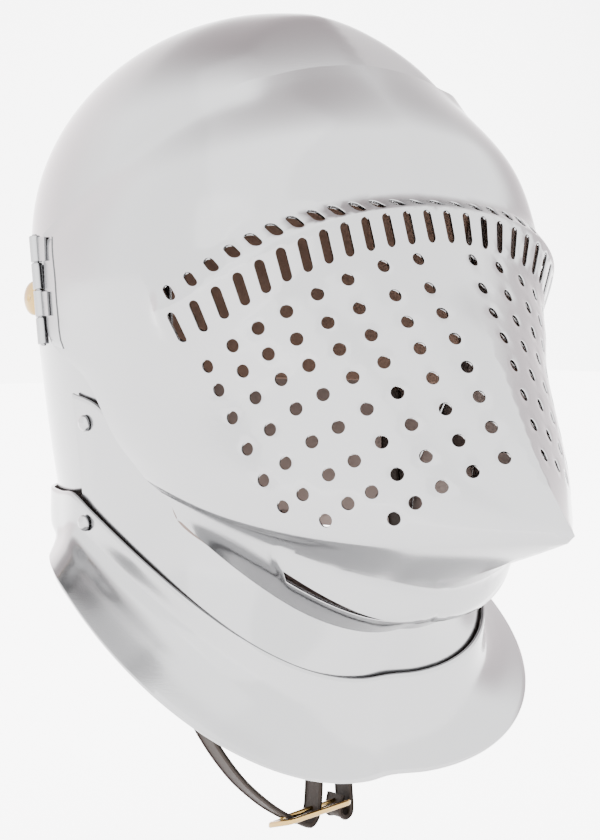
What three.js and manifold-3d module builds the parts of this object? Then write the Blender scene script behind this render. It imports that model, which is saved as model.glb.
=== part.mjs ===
// A plate helmet of the great bascinet kind, in millimetres, +Z up. The wearer looks along -Y.
// The origin is where the crown of the head meets the liner, on the helmet's middle plane.
import * as THREE from 'three';
import { mergeVertices } from 'three/addons/utils/BufferGeometryUtils.js';
import Module from 'manifold-3d';

const wasm = await Module();
wasm.setup();

// Driving dimensions
const gap = 0.35; // air between pieces that touch
const skullHalfWidth = 104;
const skullFront = 115; // from the skull's axis to its brow
const skullBack = 118; // from the skull's axis to its nape
const skullAxisY = 20; // where that axis lies behind the head's crown point
const skullDome = 110; // height of the domed part
const skullDepth = 250; // crown to the lower edge at the neck
const skullPlate = 2.0;
const linerWall = 2.4;
const linerDepth = 185;
const linerFit = gap;
const visorHalfWidth = 110;
const visorReach = 208; // from the crown point forward to the beak
const visorDrop = 297; // from the crown down to the visor's lower edge
const visorPlate = 1.8;
const slotsPerSide = 13;
const slotPitch = 11.4;
const slotWidth = 4.6;
const slotHeight = 15.5;
const upperSlotHeight = 8.5;
const bandStand = 6.5; // how far the sight band stands out of the face
const breathBore = 6.0;
const breathRows = 8;
const mouthSlit = 3.2;
const bevorPlate = 1.8;
const bevorLap = 6; // how far the chin plate rises behind the visor
const collarPlate = 1.8;
const collarLap = 9; // how far the collar overlaps the plates above it
const collarDrop = 367; // crown to the collar's front rim
const collarHalfWidth = 120;
const pivotY = 62.5;
const pivotDrop = 141;
const pivotHead = 17;
const pivotDome = 3.4;
const pivotShank = 5;
const armPlate = 2.0;
const armWidth = 16;
const hingeLength = 53;
const hingeBarrel = 5.6;
const hingePin = 2.6;
const hingeY = 51;
const hingeDrop = 137;
const hingeLean = 0.15; // forward run of the hinge for each unit down
const knuckles = 4;
const leafPlate = 1.2;
const rivetHead = 8.2;
const rivetDome = 3.2;
const rivetShank = 3.4;
const cheekRivetY = 24;
const cheekRivetDrop = 201;
const collarRivetY = 27;
const collarRivetDrop = 249;
const strapWidth = 18;
const strapWall = 2.6;

// The crown of the steel lies above the origin by the plate, the gap and the liner
const crownZ = linerWall + gap + skullPlate;
const clamp = THREE.MathUtils.clamp;
const lerp = THREE.MathUtils.lerp;
const point = (x, y, z) => new THREE.Vector3(x, y, z);

// Materials
const steel = new THREE.MeshStandardMaterial({ color: 0xd6d6d8, roughness: 0.28, metalness: 1 });
const hingeSteel = new THREE.MeshStandardMaterial({ color: 0xbfc0c4, roughness: 0.22, metalness: 1 });
const brass = new THREE.MeshStandardMaterial({ color: 0xd9b36c, roughness: 0.3, metalness: 1 });
const linerLeather = new THREE.MeshStandardMaterial({ color: 0x6a544c, roughness: 0.8, metalness: 0 });
const strapLeather = new THREE.MeshStandardMaterial({ color: 0x33261f, roughness: 0.6, metalness: 0 });

// Solids
function toSolid(geometry) {
  const bare = geometry.clone();
  bare.deleteAttribute('normal');
  bare.deleteAttribute('uv');
  const merged = mergeVertices(bare, 1e-4);
  return new wasm.Manifold(new wasm.Mesh({
    numProp: 3,
    vertProperties: Float32Array.from(merged.attributes.position.array),
    triVerts: Uint32Array.from(merged.index.array),
  }));
}

function toGeometry(solid) {
  const mesh = solid.getMesh();
  const geometry = new THREE.BufferGeometry();
  geometry.setAttribute('position', new THREE.BufferAttribute(mesh.vertProperties, 3));
  geometry.setIndex(new THREE.BufferAttribute(mesh.triVerts, 1));
  geometry.computeVertexNormals();
  return geometry;
}

// A closed body from rows of points: an outer skin, an inner skin and the edges between them.
// Where the columns go all round, the last column joins the first.
function sheetSolid(outer, inner, round) {
  const rows = outer.length;
  const columns = outer[0].length;
  const positions = [];
  const index = [];
  for (const skin of [outer, inner]) {
    for (const row of skin) for (const p of row) positions.push(p.x, p.y, p.z);
  }
  const at = (skin, row, column) => (skin * rows + row) * columns + (column % columns);
  const quad = (a, b, c, d) => index.push(a, b, c, a, c, d);
  const last = round ? columns : columns - 1;
  for (let j = 0; j < rows - 1; j += 1) {
    for (let i = 0; i < last; i += 1) {
      quad(at(0, j, i), at(0, j + 1, i), at(0, j + 1, i + 1), at(0, j, i + 1));
      quad(at(1, j, i), at(1, j, i + 1), at(1, j + 1, i + 1), at(1, j + 1, i));
    }
  }
  for (let i = 0; i < last; i += 1) {
    quad(at(0, 0, i), at(0, 0, i + 1), at(1, 0, i + 1), at(1, 0, i));
    quad(at(0, rows - 1, i + 1), at(0, rows - 1, i), at(1, rows - 1, i), at(1, rows - 1, i + 1));
  }
  for (let j = 0; !round && j < rows - 1; j += 1) {
    quad(at(0, j + 1, 0), at(0, j, 0), at(1, j, 0), at(1, j + 1, 0));
    quad(at(0, j, columns - 1), at(0, j + 1, columns - 1), at(1, j + 1, columns - 1), at(1, j, columns - 1));
  }
  const geometry = new THREE.BufferGeometry();
  geometry.setAttribute('position', new THREE.Float32BufferAttribute(positions, 3));
  geometry.setIndex(index);
  const solid = toSolid(geometry);
  if (solid.volume() > 0) return solid;
  for (let k = 0; k < index.length; k += 3) [index[k + 1], index[k + 2]] = [index[k + 2], index[k + 1]];
  geometry.setIndex(index);
  return toSolid(geometry);
}

// Outward normals of a grid of points, away from a point inside
function gridNormals(grid, inside, round) {
  const rows = grid.length;
  const columns = grid[0].length;
  return grid.map((row, j) => row.map((p, i) => {
    const left = round ? (i + columns - 1) % columns : Math.max(i - 1, 0);
    const right = round ? (i + 1) % columns : Math.min(i + 1, columns - 1);
    const along = row[right].clone().sub(row[left]);
    const down = grid[Math.min(j + 1, rows - 1)][i].clone().sub(grid[Math.max(j - 1, 0)][i]);
    const normal = along.cross(down).normalize();
    return normal.dot(p.clone().sub(inside)) < 0 ? normal.negate() : normal;
  }));
}

function offsetGrid(grid, normals, distance) {
  return grid.map((row, j) => row.map((p, i) => p.clone().addScaledVector(normals[j][i], distance)));
}

// A prism with rounded ends along a direction, for slots (long) and round holes (long = 0)
function slotCutter(centre, normal, tall, wide, long, sides, reach) {
  const shape = new THREE.Shape();
  const corners = [];
  for (let k = 0; k < sides; k += 1) {
    const a = (k + 0.5) / sides * 2 * Math.PI;
    const up = Math.sin(a) >= 0 ? 1 : -1;
    corners.push(new THREE.Vector2(Math.cos(a) * wide / 2, Math.sin(a) * wide / 2 + up * long / 2));
  }
  shape.setFromPoints(corners);
  const geometry = new THREE.ExtrudeGeometry(shape, { depth: 2 * reach, bevelEnabled: false });
  geometry.translate(0, 0, -reach);
  const axisX = tall.clone().cross(normal).normalize();
  const axisY = normal.clone().cross(axisX).normalize();
  const frame = new THREE.Matrix4().makeBasis(axisX, axisY, normal).setPosition(centre);
  geometry.applyMatrix4(frame);
  return toSolid(geometry);
}

// A turned body about the line through a point along a direction
function turned(profile, segments, centre, direction) {
  const geometry = new THREE.LatheGeometry(profile.map(([r, h]) => new THREE.Vector2(r, h)), segments);
  const turn = new THREE.Quaternion().setFromUnitVectors(point(0, 1, 0), direction);
  geometry.applyMatrix4(new THREE.Matrix4().compose(centre, turn, point(1, 1, 1)));
  return toSolid(geometry);
}

// A flat plate standing upright along the side, from one x to another, on either side
function sidePlate(outline, nearX, farX, side) {
  const shape = new THREE.Shape(outline.map(([y, drop]) => new THREE.Vector2(y, crownZ - drop)));
  const geometry = new THREE.ExtrudeGeometry(shape, { depth: farX - nearX, bevelEnabled: false });
  geometry.translate(0, 0, side > 0 ? nearX : -farX);
  geometry.applyMatrix4(new THREE.Matrix4().makeBasis(point(0, 1, 0), point(0, 0, 1), point(1, 0, 0)));
  return toSolid(geometry);
}

const unite = (solids) => solids.reduce((a, b) => a.add(b));
const carve = (solid, cutters) => solid.subtract(unite(cutters));
const mirrored = (p, side) => point(p.x * side, p.y, p.z);

const helmet = new THREE.Group();
function place(name, solid, material) {
  const mesh = new THREE.Mesh(toGeometry(solid), material);
  mesh.name = name;
  helmet.add(mesh);
}

// Skull: a domed bowl with a keel, nearly upright below and drawn in to the neck
const skullSquareness = 2.35; // plan section, between an ellipse (2) and a box
const skullDomeSquareness = 2.12;
const skullNeckShare = 0.875; // neck width as a share of the widest
const skullNapeShare = 0.86;
const skullKeel = 2.2;
const skullCrownLean = 19; // how far forward the crown lies of the skull's axis
const crownPinch = 0.8; // how much less square the front of the crown is
// The brow stays inside the circle that the visor swings on, and that shrinks away from the middle plane
const swingRadius = 167;
const swingPinch = 0.2;
const swingBlend = 1.5;

// Point of the skull's outside at a drop below the crown; turn 0 is the brow, half a turn the nape
function skullPoint(drop, turn, inset) {
  const domed = drop < skullDome;
  const rise = clamp(1 - drop / skullDome, 0, 1);
  const neck = clamp((drop - skullDome) / (skullDepth - skullDome), 0, 1.1);
  const girth = domed ? (1 - rise ** skullDomeSquareness) ** (1 / skullDomeSquareness) : 1;
  const narrow = lerp(1, skullNeckShare, neck ** 1.6);
  const c = Math.cos(turn);
  const s = Math.sin(turn);
  const square = skullSquareness - (c > 0 ? crownPinch * rise ** 3 : 0);
  const squared = (Math.abs(c) ** square + Math.abs(s) ** square) ** (-1 / square);
  const back = skullBack * lerp(1, skullNapeShare, neck ** 1.5);
  const axis = skullAxisY - skullCrownLean * rise ** 1.5;
  const keel = skullKeel * Math.exp(-((Math.sin(turn) / 0.12) ** 2)) * Math.min(1, girth * 1.5);
  const run = girth * squared;
  const half = skullHalfWidth * narrow - inset;
  const ahead = (c > 0 ? skullFront : back) - inset;
  const x = half * run * s;
  const y = axis - (ahead * run + keel) * c;
  const swing = swingRadius - swingPinch * (Math.hypot(x, skullKeel) - skullKeel) - inset;
  const foremost = pivotY - Math.sqrt(Math.max(swing ** 2 - (pivotDrop - drop) ** 2, 1));
  const over = c > 0 ? Math.min((foremost - y) / swingBlend, 300) : -300;
  return point(x, y + swingBlend * Math.log1p(Math.exp(over)), crownZ - drop);
}

const skullLevels = [0.004, 0.025, 0.07, 0.14, 0.23, 0.34, 0.46, 0.58, 0.7, 0.8, 0.9, 1, 1.06];
const skullTurns = 36;

// A closed bowl body of the skull's form, drawn in by an inset and running down to a depth
function bowl(inset, depth, levelShares, turns) {
  const levels = levelShares.map((share) => share * depth);
  const rings = levels.map((drop) => {
    const ring = [];
    for (let i = 0; i < turns; i += 1) {
      const p = skullPoint(drop, i / turns * 2 * Math.PI, inset);
      p.z -= inset * Math.sqrt(clamp(1 - drop / skullDome, 0, 1));
      ring.push(p);
    }
    return ring;
  });
  const positions = [];
  const index = [];
  rings.flat().forEach((p) => positions.push(p.x, p.y, p.z));
  const ringStart = (j) => j * turns;
  for (let j = 0; j < rings.length - 1; j += 1) {
    for (let i = 0; i < turns; i += 1) {
      const k = (i + 1) % turns;
      const [a, b] = [ringStart(j) + i, ringStart(j) + k];
      const [c, d] = [ringStart(j + 1) + k, ringStart(j + 1) + i];
      index.push(a, d, c, a, c, b);
    }
  }
  for (const [j, flip] of [[0, false], [rings.length - 1, true]]) {
    const centre = positions.length / 3;
    const middle = rings[j].reduce((sum, p) => sum.add(p), point(0, 0, 0)).divideScalar(turns);
    positions.push(middle.x, middle.y, middle.z + (flip ? 0 : 0.15));
    for (let i = 0; i < turns; i += 1) {
      const [a, b] = [ringStart(j) + i, ringStart(j) + (i + 1) % turns];
      index.push(...(flip ? [centre, b, a] : [centre, a, b]));
    }
  }
  const geometry = new THREE.BufferGeometry();
  geometry.setAttribute('position', new THREE.Float32BufferAttribute(positions, 3));
  geometry.setIndex(index);
  return toSolid(geometry);
}

// An upright cut through the bowl, as a side outline swept across the whole width
const sideCut = (outline) => sidePlate(outline, -2 * skullHalfWidth, 2 * skullHalfWidth, 1);

const faceBrowDrop = 84;
const faceCheekY = -38;
const faceJawY = 2;
const far = 3 * skullFront;
// The face opening runs from the brow down past the jaw, then forward of the neck
const faceOpening = [
  [-far, faceBrowDrop],
  [faceCheekY - 26, faceBrowDrop],
  [faceCheekY - 6, faceBrowDrop + 14],
  [faceCheekY, faceBrowDrop + 40],
  [faceCheekY, faceBrowDrop + 80],
  [faceJawY, skullDepth - 22],
  [faceJawY, skullDepth + far],
  [-far, skullDepth + far],
];

function shell(inset, wall, depth, opening, levels, turns) {
  const core = bowl(inset + wall, skullDepth + 4, levels, turns);
  const body = bowl(inset, skullDepth, levels, turns).subtract(core);
  const below = [[-far, depth], [far, depth], [far, depth + far], [-far, depth + far]];
  return body.subtract(sideCut(opening)).subtract(sideCut(below));
}

// Outward normal of the skull's outside
function skullNormal(drop, turn) {
  const step = 0.01;
  const round = skullPoint(drop, turn + step, 0).sub(skullPoint(drop, turn - step, 0));
  const down = skullPoint(drop + step, turn, 0).sub(skullPoint(drop - step, turn, 0));
  return down.cross(round).normalize();
}

// The skull's nearest place to a point, found by walking over the surface in shrinking steps
function nearestOnSkull(p) {
  const deepest = 1.04 * skullDepth;
  const turn = Math.atan2(p.x / skullHalfWidth, (skullAxisY - p.y) / skullFront);
  let best = [clamp(crownZ - p.z, 1, deepest), turn];
  let distance = skullPoint(...best, 0).distanceTo(p);
  for (let step = 1; step > 0.002; step /= 2) {
    for (const [a, b] of [[1, 0], [-1, 0], [0, 1], [0, -1], [1, 0], [-1, 0], [0, 1], [0, -1]]) {
      const next = [clamp(best[0] + a * 16 * step, 1, deepest), best[1] + b * 0.2 * step];
      const reach = skullPoint(...next, 0).distanceTo(p);
      if (reach < distance) [best, distance] = [next, reach];
    }
  }
  return best;
}

// A point moved out, where it must be, to stand at least a room off the skull's wall
function clearOfSkull(p, room) {
  const moved = p.clone();
  for (let k = 0; k < 2; k += 1) {
    const place = nearestOnSkull(moved);
    const normal = skullNormal(...place);
    const stand = moved.clone().sub(skullPoint(...place, 0)).dot(normal);
    const open = place[0] > faceBrowDrop + 6 && moved.y < faceCheekY - 4;
    if (stand < room && !open) moved.addScaledVector(normal, room - stand);
  }
  return moved;
}

// Visor: one plate lofted from its brow edge down to its lower edge. Each row is one section, from the
// middle plane round to the hinge edge: x in shares of visorHalfWidth, f (forward) in shares of
// visorReach, d (drop) in shares of visorDrop, at the middle, two pulls and the rear end.
const visorSections = [
  // mf, md, innerX, innerF, innerD, outerX, outerF, outerD, rearX, rearF, rearD
  [0.322, 0.104, 0.424, 0.309, 0.104, 0.985, 0.330, 0.158, 0.991, -0.231, 0.370], // brow edge
  [0.442, 0.209, 0.618, 0.481, 0.205, 1.190, 0.433, 0.303, 0.991, -0.226, 0.404], // forehead
  [0.495, 0.306, 0.690, 0.519, 0.296, 1.218, 0.538, 0.471, 0.991, -0.221, 0.438], // above the sight
  [0.577, 0.380, 0.655, 0.567, 0.377, 1.145, 0.567, 0.640, 0.991, -0.216, 0.488], // below the sight
  [0.639, 0.455, 0.673, 0.625, 0.461, 1.055, 0.538, 0.660, 0.991, -0.192, 0.549], // first breaths
  [0.731, 0.539, 0.582, 0.683, 0.552, 1.000, 0.500, 0.700, 0.973, -0.067, 0.603], // cheek
  [0.880, 0.710, 0.455, 0.779, 0.724, 0.964, 0.587, 0.815, 0.927, 0.024, 0.700], // last breaths
  [0.976, 0.798, 0.355, 0.808, 0.791, 0.900, 0.596, 0.848, 0.900, 0.106, 0.751], // above the beak
  [1.000, 0.822, 0.336, 0.798, 0.812, 0.891, 0.596, 0.857, 0.891, 0.120, 0.761], // beak
  [0.952, 0.838, 0.364, 0.779, 0.838, 0.873, 0.567, 0.859, 0.882, 0.135, 0.768], // under the beak
  [0.606, 0.923, 0.564, 0.606, 0.916, 0.818, 0.442, 0.822, 0.864, 0.173, 0.785], // lip crease
  [0.577, 0.963, 0.491, 0.572, 0.980, 0.745, 0.404, 0.869, 0.855, 0.192, 0.801], // mouth slit
  [0.447, 1.000, 0.364, 0.457, 1.017, 0.636, 0.337, 0.926, 0.846, 0.207, 0.818], // lower edge
];
const lastSection = visorSections.length - 1;
const visorPulls = visorSections.map(([mf, md, ix, inf, ind, ox, of, od, rx, rf, rd]) => [
  [0, mf, md], [ix, inf, ind], [ox, of, od], [rx, rf, rd],
].map(([x, f, d]) => point(x * visorHalfWidth, -f * visorReach, crownZ - d * visorDrop)));

// The sections are spaced along the loft by how far apart they lie
const sectionKnots = visorPulls.reduce((knots, pulls, j) => {
  if (j === 0) return [0];
  const step = pulls.reduce((sum, p, k) => sum + p.distanceTo(visorPulls[j - 1][k]), 0) / pulls.length;
  return [...knots, knots[j - 1] + step];
}, []);

function sectionSlope(j, k) {
  const before = Math.max(j - 1, 0);
  const after = Math.min(j + 1, lastSection);
  const run = sectionKnots[after] - sectionKnots[before];
  return visorPulls[after][k].clone().sub(visorPulls[before][k]).divideScalar(run);
}

// Point of the plain visor face: v counts the sections, t runs from the middle to the rear
function facePoint(v, t) {
  const j = clamp(Math.floor(v), 0, lastSection - 1);
  const s = v - j;
  const run = sectionKnots[j + 1] - sectionKnots[j];
  const pulls = visorPulls[j].map((p, k) => {
    const blend = p.clone().multiplyScalar(2 * s ** 3 - 3 * s ** 2 + 1);
    blend.addScaledVector(sectionSlope(j, k), run * (s ** 3 - 2 * s ** 2 + s));
    blend.addScaledVector(visorPulls[j + 1][k], 3 * s ** 2 - 2 * s ** 3);
    return blend.addScaledVector(sectionSlope(j + 1, k), run * (s ** 3 - s ** 2));
  });
  const curve = new THREE.CubicBezierCurve3(...pulls);
  return curve.getPoint(t);
}

function faceNormal(v, t, surface = facePoint) {
  const step = 0.004;
  const [v0, v1] = [clamp(v - step, 0, lastSection), clamp(v + step, 0, lastSection)];
  const [t0, t1] = [clamp(t - step, 0, 1), clamp(t + step, 0, 1)];
  const along = surface(v, t1).sub(surface(v, t0));
  const down = surface(v1, t).sub(surface(v0, t));
  const normal = along.cross(down).normalize();
  if (t < step) normal.x = 0;
  return normal.z + normal.y === 0 ? normal : normal.multiplyScalar(facingSign);
}

let facingSign = 1;
facingSign = faceNormal(1, 0.3).y < 0 ? 1 : -1;

// Where along t a run of length lies from the middle plane, at section v
function alongAt(v, length) {
  const steps = 80;
  let travelled = 0;
  let before = facePoint(v, 0);
  for (let k = 1; k <= steps; k += 1) {
    const next = facePoint(v, k / steps);
    const step = next.distanceTo(before);
    if (travelled + step >= length) return (k - 1 + (length - travelled) / step) / steps;
    travelled += step;
    before = next;
  }
  return 1;
}

// Sight band: a ledge facing up, a crest and a lower face that falls back to the plate
const bandTop = 2;
const bandCrest = 2.36;
const bandFoot = 3;
const bandEndFade = 7;
const bandHalfRun = slotsPerSide * slotPitch + 3;
function bandLift(v, t) {
  if (v <= bandTop || v >= bandFoot) return 0;
  const above = v < bandCrest;
  const rise = above ? (v - bandTop) / (bandCrest - bandTop) : (bandFoot - v) / (bandFoot - bandCrest);
  const end = alongAt(v, bandHalfRun);
  const fadeEnd = alongAt(v, bandHalfRun + bandEndFade);
  return bandStand * rise * clamp((fadeEnd - t) / (fadeEnd - end), 0, 1);
}
function visorPoint(v, t) {
  return facePoint(v, t).addScaledVector(faceNormal(v, t), bandLift(v, t));
}
// The visor's outside and inside, kept off the skull
const plateFit = 1.0; // air under a lofted plate, whose flats cut inside its curve
const browFit = 1.7; // the visor's brow stands a little prouder
function visorSkin(v, t, depth) {
  const p = visorPoint(v, t).addScaledVector(faceNormal(v, t, visorPoint), -depth);
  const clear = clearOfSkull(p, (v < bandTop ? browFit : plateFit) + visorPlate - depth);
  if (t === 0) clear.x = 0;
  return clear;
}

const visorRows = [
  0, 0.5, 1, 1.5, bandTop, bandCrest, bandFoot, 3.5, 4, 4.7, 5.4, 6.1, 7, 8, 9, 10, 11.2, 12,
];
const visorColumns = 10; // on each side
function bothSides(make) {
  const row = [];
  for (let i = -visorColumns; i <= visorColumns; i += 1) {
    const side = i < 0 ? -1 : 1;
    row.push(mirrored(make(Math.abs(i) / visorColumns), side));
  }
  return row;
}
const visorOuter = visorRows.map((v) => bothSides((t) => visorSkin(v, t, 0)));
const visorInner = visorRows.map((v) => bothSides((t) => visorSkin(v, t, visorPlate)));
const visorSheet = sheetSolid(visorOuter, visorInner, false);

// A hole square to the plate at a place of the visor, on either side
function pierce(v, t, side, wide, long, sides, surface) {
  const step = 0.02;
  const centre = surface(v, t);
  const normal = faceNormal(v, t, surface);
  const down = surface(v + step, t).sub(surface(v - step, t)).normalize();
  return slotCutter(mirrored(centre, side), mirrored(normal, side), mirrored(down, side), wide, long, sides,
    3 * visorPlate);
}

const visorCutters = [];
const lowerSlotAt = (bandCrest + bandFoot) / 2;
const upperSlotAt = (bandTop + bandCrest) / 2;
const slotCornered = 1.3; // a four-cornered cutter is this much wider than the slot, for the same area
for (const side of [-1, 1]) {
  for (let k = 0; k < slotsPerSide; k += 1) {
    const run = (k + 0.5) * slotPitch;
    const t = alongAt(lowerSlotAt, run);
    const across = slotCornered * slotWidth;
    [[lowerSlotAt, slotHeight], [upperSlotAt, upperSlotHeight]].forEach(([v, height]) => {
      visorCutters.push(pierce(v, t, side, across, height - slotWidth, 4, visorPoint));
    });
  }
}

// Breaths: columns beside the keel, each a named number of holes long. Every second hole is cut here.
const breathCounts = [8, 8, 8, 8, 8, 7, 7, 6];
const breathFirstColumn = 17.3;
const breathPitch = 18.4;
const breathTop = 3.5;
const breathFoot = 6.05;
const keelRun = (v) => {
  const steps = 24;
  let run = 0;
  for (let k = 0; k < steps; k += 1) {
    run += facePoint(v * (k + 1) / steps, 0).distanceTo(facePoint(v * k / steps, 0));
  }
  return run;
};
function sectionAtRun(run) {
  let [low, high] = [breathTop - 1, breathFoot + 1];
  for (let k = 0; k < 24; k += 1) {
    const middle = (low + high) / 2;
    if (keelRun(middle) < run) low = middle;
    else high = middle;
  }
  return (low + high) / 2;
}
const [firstRun, lastRun] = [keelRun(breathTop), keelRun(breathFoot)];
for (const side of [-1, 1]) {
  breathCounts.forEach((count, column) => {
    for (let row = 0; row < count; row += 1) {
      if ((row + column) % 2) continue;
      const v = sectionAtRun(lerp(firstRun, lastRun, row / (breathRows - 1)));
      const t = alongAt(v, breathFirstColumn + column * breathPitch);
      visorCutters.push(pierce(v, t, side, breathBore, 0, 5, facePoint));
    }
  });
}

// Mouth: a tapering slit on each side under the lip
const mouthFrom = 0.16;
const mouthTo = 0.6;
const mouthFront = 10.95; // its section at the front end, and at the rear end
const mouthRear = 10.6;
for (const side of [-1, 1]) {
  const columns = 9;
  const rows = [-1, 1].map((edge) => {
    const line = [];
    for (let i = 0; i < columns; i += 1) {
      const t = lerp(mouthFrom, mouthTo, i / (columns - 1));
      const v = lerp(mouthFront, mouthRear, i / (columns - 1));
      const down = facePoint(v + 0.1, t).sub(facePoint(v - 0.1, t)).normalize();
      const tall = mouthSlit * lerp(0.5, 1, i / (columns - 1));
      line.push([facePoint(v, t).addScaledVector(down, edge * tall / 2), faceNormal(v, t)]);
    }
    return line;
  });
  const lifted = (line, reach) => line.map(([p, n]) => mirrored(p.clone().addScaledVector(n, reach), side));
  const layer = (reach) => rows.map((line) => lifted(line, reach));
  visorCutters.push(sheetSolid(layer(3 * visorPlate), layer(-3 * visorPlate), false));
}
const visor = carve(visorSheet, visorCutters);

// Collar seat and rim, from the middle of the front round one side to the middle of the back
const seatFront = new THREE.CubicBezierCurve3(
  point(0, -86, crownZ - 320),
  point(60, -97, crownZ - 323),
  point(106, -78, crownZ - 288),
  point(98, 40, crownZ - 237),
);
const rimFront = new THREE.CubicBezierCurve3(
  point(0, -88, crownZ - collarDrop),
  point(0.6 * collarHalfWidth, -108, crownZ - collarDrop - 4),
  point(1.15 * collarHalfWidth, -82, crownZ - 330),
  point(collarHalfWidth, 22, crownZ - 272),
);
const rimBack = new THREE.CubicBezierCurve3(
  rimFront.v3,
  point(0.92 * collarHalfWidth, 50, crownZ - 264),
  point(0.47 * collarHalfWidth, 126, crownZ - 266),
  point(0, 128, crownZ - 266),
);
const seatDropBack = 237;
const seatBackTurns = [0.62, 0.7, 0.78, 0.86, 0.94, 1].map((share) => share * Math.PI);
const collarFrontCells = 12;
const collarRoom = 2 * plateFit + bevorPlate + collarPlate;
const collarBackRoom = 2 * plateFit + collarPlate; // no chin plate lies between at the back
function collarColumns() {
  const seats = [];
  const rims = [];
  for (let i = 0; i <= collarFrontCells; i += 1) {
    seats.push(clearOfSkull(seatFront.getPointAt(i / collarFrontCells), collarRoom));
    rims.push(rimFront.getPointAt(i / collarFrontCells));
  }
  seatBackTurns.forEach((turn, k) => {
    const out = skullNormal(seatDropBack, turn).multiplyScalar(collarBackRoom);
    seats.push(skullPoint(seatDropBack, turn, 0).add(out));
    rims.push(rimBack.getPointAt((k + 1) / seatBackTurns.length));
  });
  return [seats, rims];
}
const [collarSeats, collarRims] = collarColumns();
const collarHollow = 2; // how far the flare is hollowed between seat and rim
const collarRing = (half) => [...half, ...half.slice(1, -1).reverse().map((p) => mirrored(p, -1))];
const collarLapDown = 17; // the upright lap above the flare
const bends = collarSeats.map((p, i) => {
  const back = i > collarFrontCells;
  return clearOfSkull(p.clone().add(point(0, 0, -collarLapDown)), back ? collarBackRoom : collarRoom);
});
const hollowed = bends.map((p, i) => {
  const share = 1 - collarHollow / collarHalfWidth;
  return p.clone().lerp(collarRims[i], 0.5).multiply(point(share, share, 1));
});
const collarOuter = [collarSeats, bends, hollowed, collarRims].map(collarRing);
const collarMiddle = point(0, 15, crownZ - 300);
const collarNormals = gridNormals(collarOuter, collarMiddle, true);
const collarInner = offsetGrid(collarOuter, collarNormals, -collarPlate);

// Bevor: from behind the visor's lower edge down inside the collar, with a tab on each cheek. It follows
// the visor's under edge through these places: a section number and a share along that section.
const bevorPlaces = [
  [12, 0], [12, 0.12], [12, 0.24], [12, 0.36], [12, 0.48], [12, 0.6], [12, 0.72], [12, 0.86],
  [11.9, 0.99], [9.6, 1], [7, 1],
];
const behindRearEdge = 8; // from this place on, the upper edge lies forward of the visor's rear edge
const tabEdge = [[12, 193], [34, 187]]; // y and drop of the cheek tab's upper edge
const towardAxis = (p) => point(-p.x, skullAxisY - p.y, 0).normalize();
const bevorHalf = [[], [], [], []];
for (let i = 0; i <= collarFrontCells; i += 1) {
  // The plate ends just short of the collar's last front place
  const back = i === collarFrontCells ? 0.35 : 0;
  const [seatIn, footIn] = [0, 1].map((row) => {
    const p = collarInner[row][i].clone();
    return p.lerp(collarInner[row][Math.max(i - 1, 0)], back);
  });
  const seat = seatIn.clone().addScaledVector(towardAxis(seatIn), plateFit);
  const foot = seatIn.clone().lerp(footIn, collarLap / collarLapDown);
  foot.addScaledVector(towardAxis(foot), plateFit);
  let top;
  let edge;
  if (i >= bevorPlaces.length) {
    const [y, drop] = tabEdge[i - bevorPlaces.length];
    top = point(0.9 * skullHalfWidth, y, crownZ - drop);
    edge = top.clone().lerp(seat, 0.3);
  } else {
    const [v, t] = bevorPlaces[i];
    const rear = i >= behindRearEdge;
    edge = visorSkin(v, t, visorPlate + (rear ? 3 : 1) * plateFit);
    const risen = edge.clone().add(point(0, 0, bevorLap));
    top = rear ? visorSkin(v, 0.95, visorPlate + 2.4 * plateFit) : risen;
  }
  [top, edge, seat, foot].forEach((p, j) => {
    const clear = clearOfSkull(p, plateFit + bevorPlate);
    if (i === 0) clear.x = 0;
    bevorHalf[j].push(clear);
  });
}
const wholeRow = (half) => [...half.slice(1).reverse().map((p) => mirrored(p, -1)), ...half];
const bevorOuter = bevorHalf.map(wholeRow);
const bevorMiddle = point(0, 0, crownZ - 260);
const bevorInner = offsetGrid(bevorOuter, gridNormals(bevorOuter, bevorMiddle, false), -bevorPlate);

// Rivets: a domed head outside, a shank and a small head inside, along a direction that points outward
const largeHead = 12; // a head wider than this is turned with more sides
const sides = [['right', -1], ['left', 1]];
function rivet(seat, outward, head, dome, shank, grip) {
  const innerHead = 1.7 * shank;
  const innerThick = 1.4;
  const profile = [
    [0, -grip - innerThick], [innerHead / 2, -grip - innerThick], [innerHead / 2, -grip], [shank / 2, -grip],
    [shank / 2, 0], [head / 2, 0], [0.46 * head, 0.45 * dome], [0.3 * head, 0.85 * dome], [0, dome],
  ];
  return turned(profile, head > largeHead ? 16 : 10, seat, outward);
}
function bore(seat, outward, shank, reach) {
  const r = shank / 2 + gap;
  return turned([[0, -reach], [r, -reach], [r, reach], [0, reach]], 10, seat, outward);
}

const skullCutters = [];
const linerCutters = [];
const bevorCutters = [];
const collarCutters = [];
const strapCutters = [];
const rivetReach = 14;

// A place on the skull's side at a height, and the normal there
function skullSide(y, drop) {
  const [foundDrop, turn] = nearestOnSkull(point(skullHalfWidth, y, crownZ - drop));
  return [skullPoint(foundDrop, turn, 0), skullNormal(foundDrop, turn)];
}

// Arm: a flat plate beside the skull, from the hinge back round the pivot
const armStart = hingeY + hingeBarrel / 2 + 1;
const armX = skullSide(armStart - armWidth / 2, hingeDrop)[0].x + plateFit;
const armTall = 0.9 * hingeLength;
const armEnd = [];
for (let k = 0; k <= 8; k += 1) {
  const a = Math.PI * (0.5 - k / 8);
  armEnd.push([pivotY + armWidth / 2 * Math.cos(a), pivotDrop - armWidth / 2 * Math.sin(a)]);
}
const armOutline = [
  [armStart + 3, hingeDrop - armTall / 2 + 3],
  ...armEnd,
  [armStart + 3, hingeDrop + armTall / 2 - 3],
  [armStart, hingeDrop + armTall / 2],
  [armStart, hingeDrop - armTall / 2],
];

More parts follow.
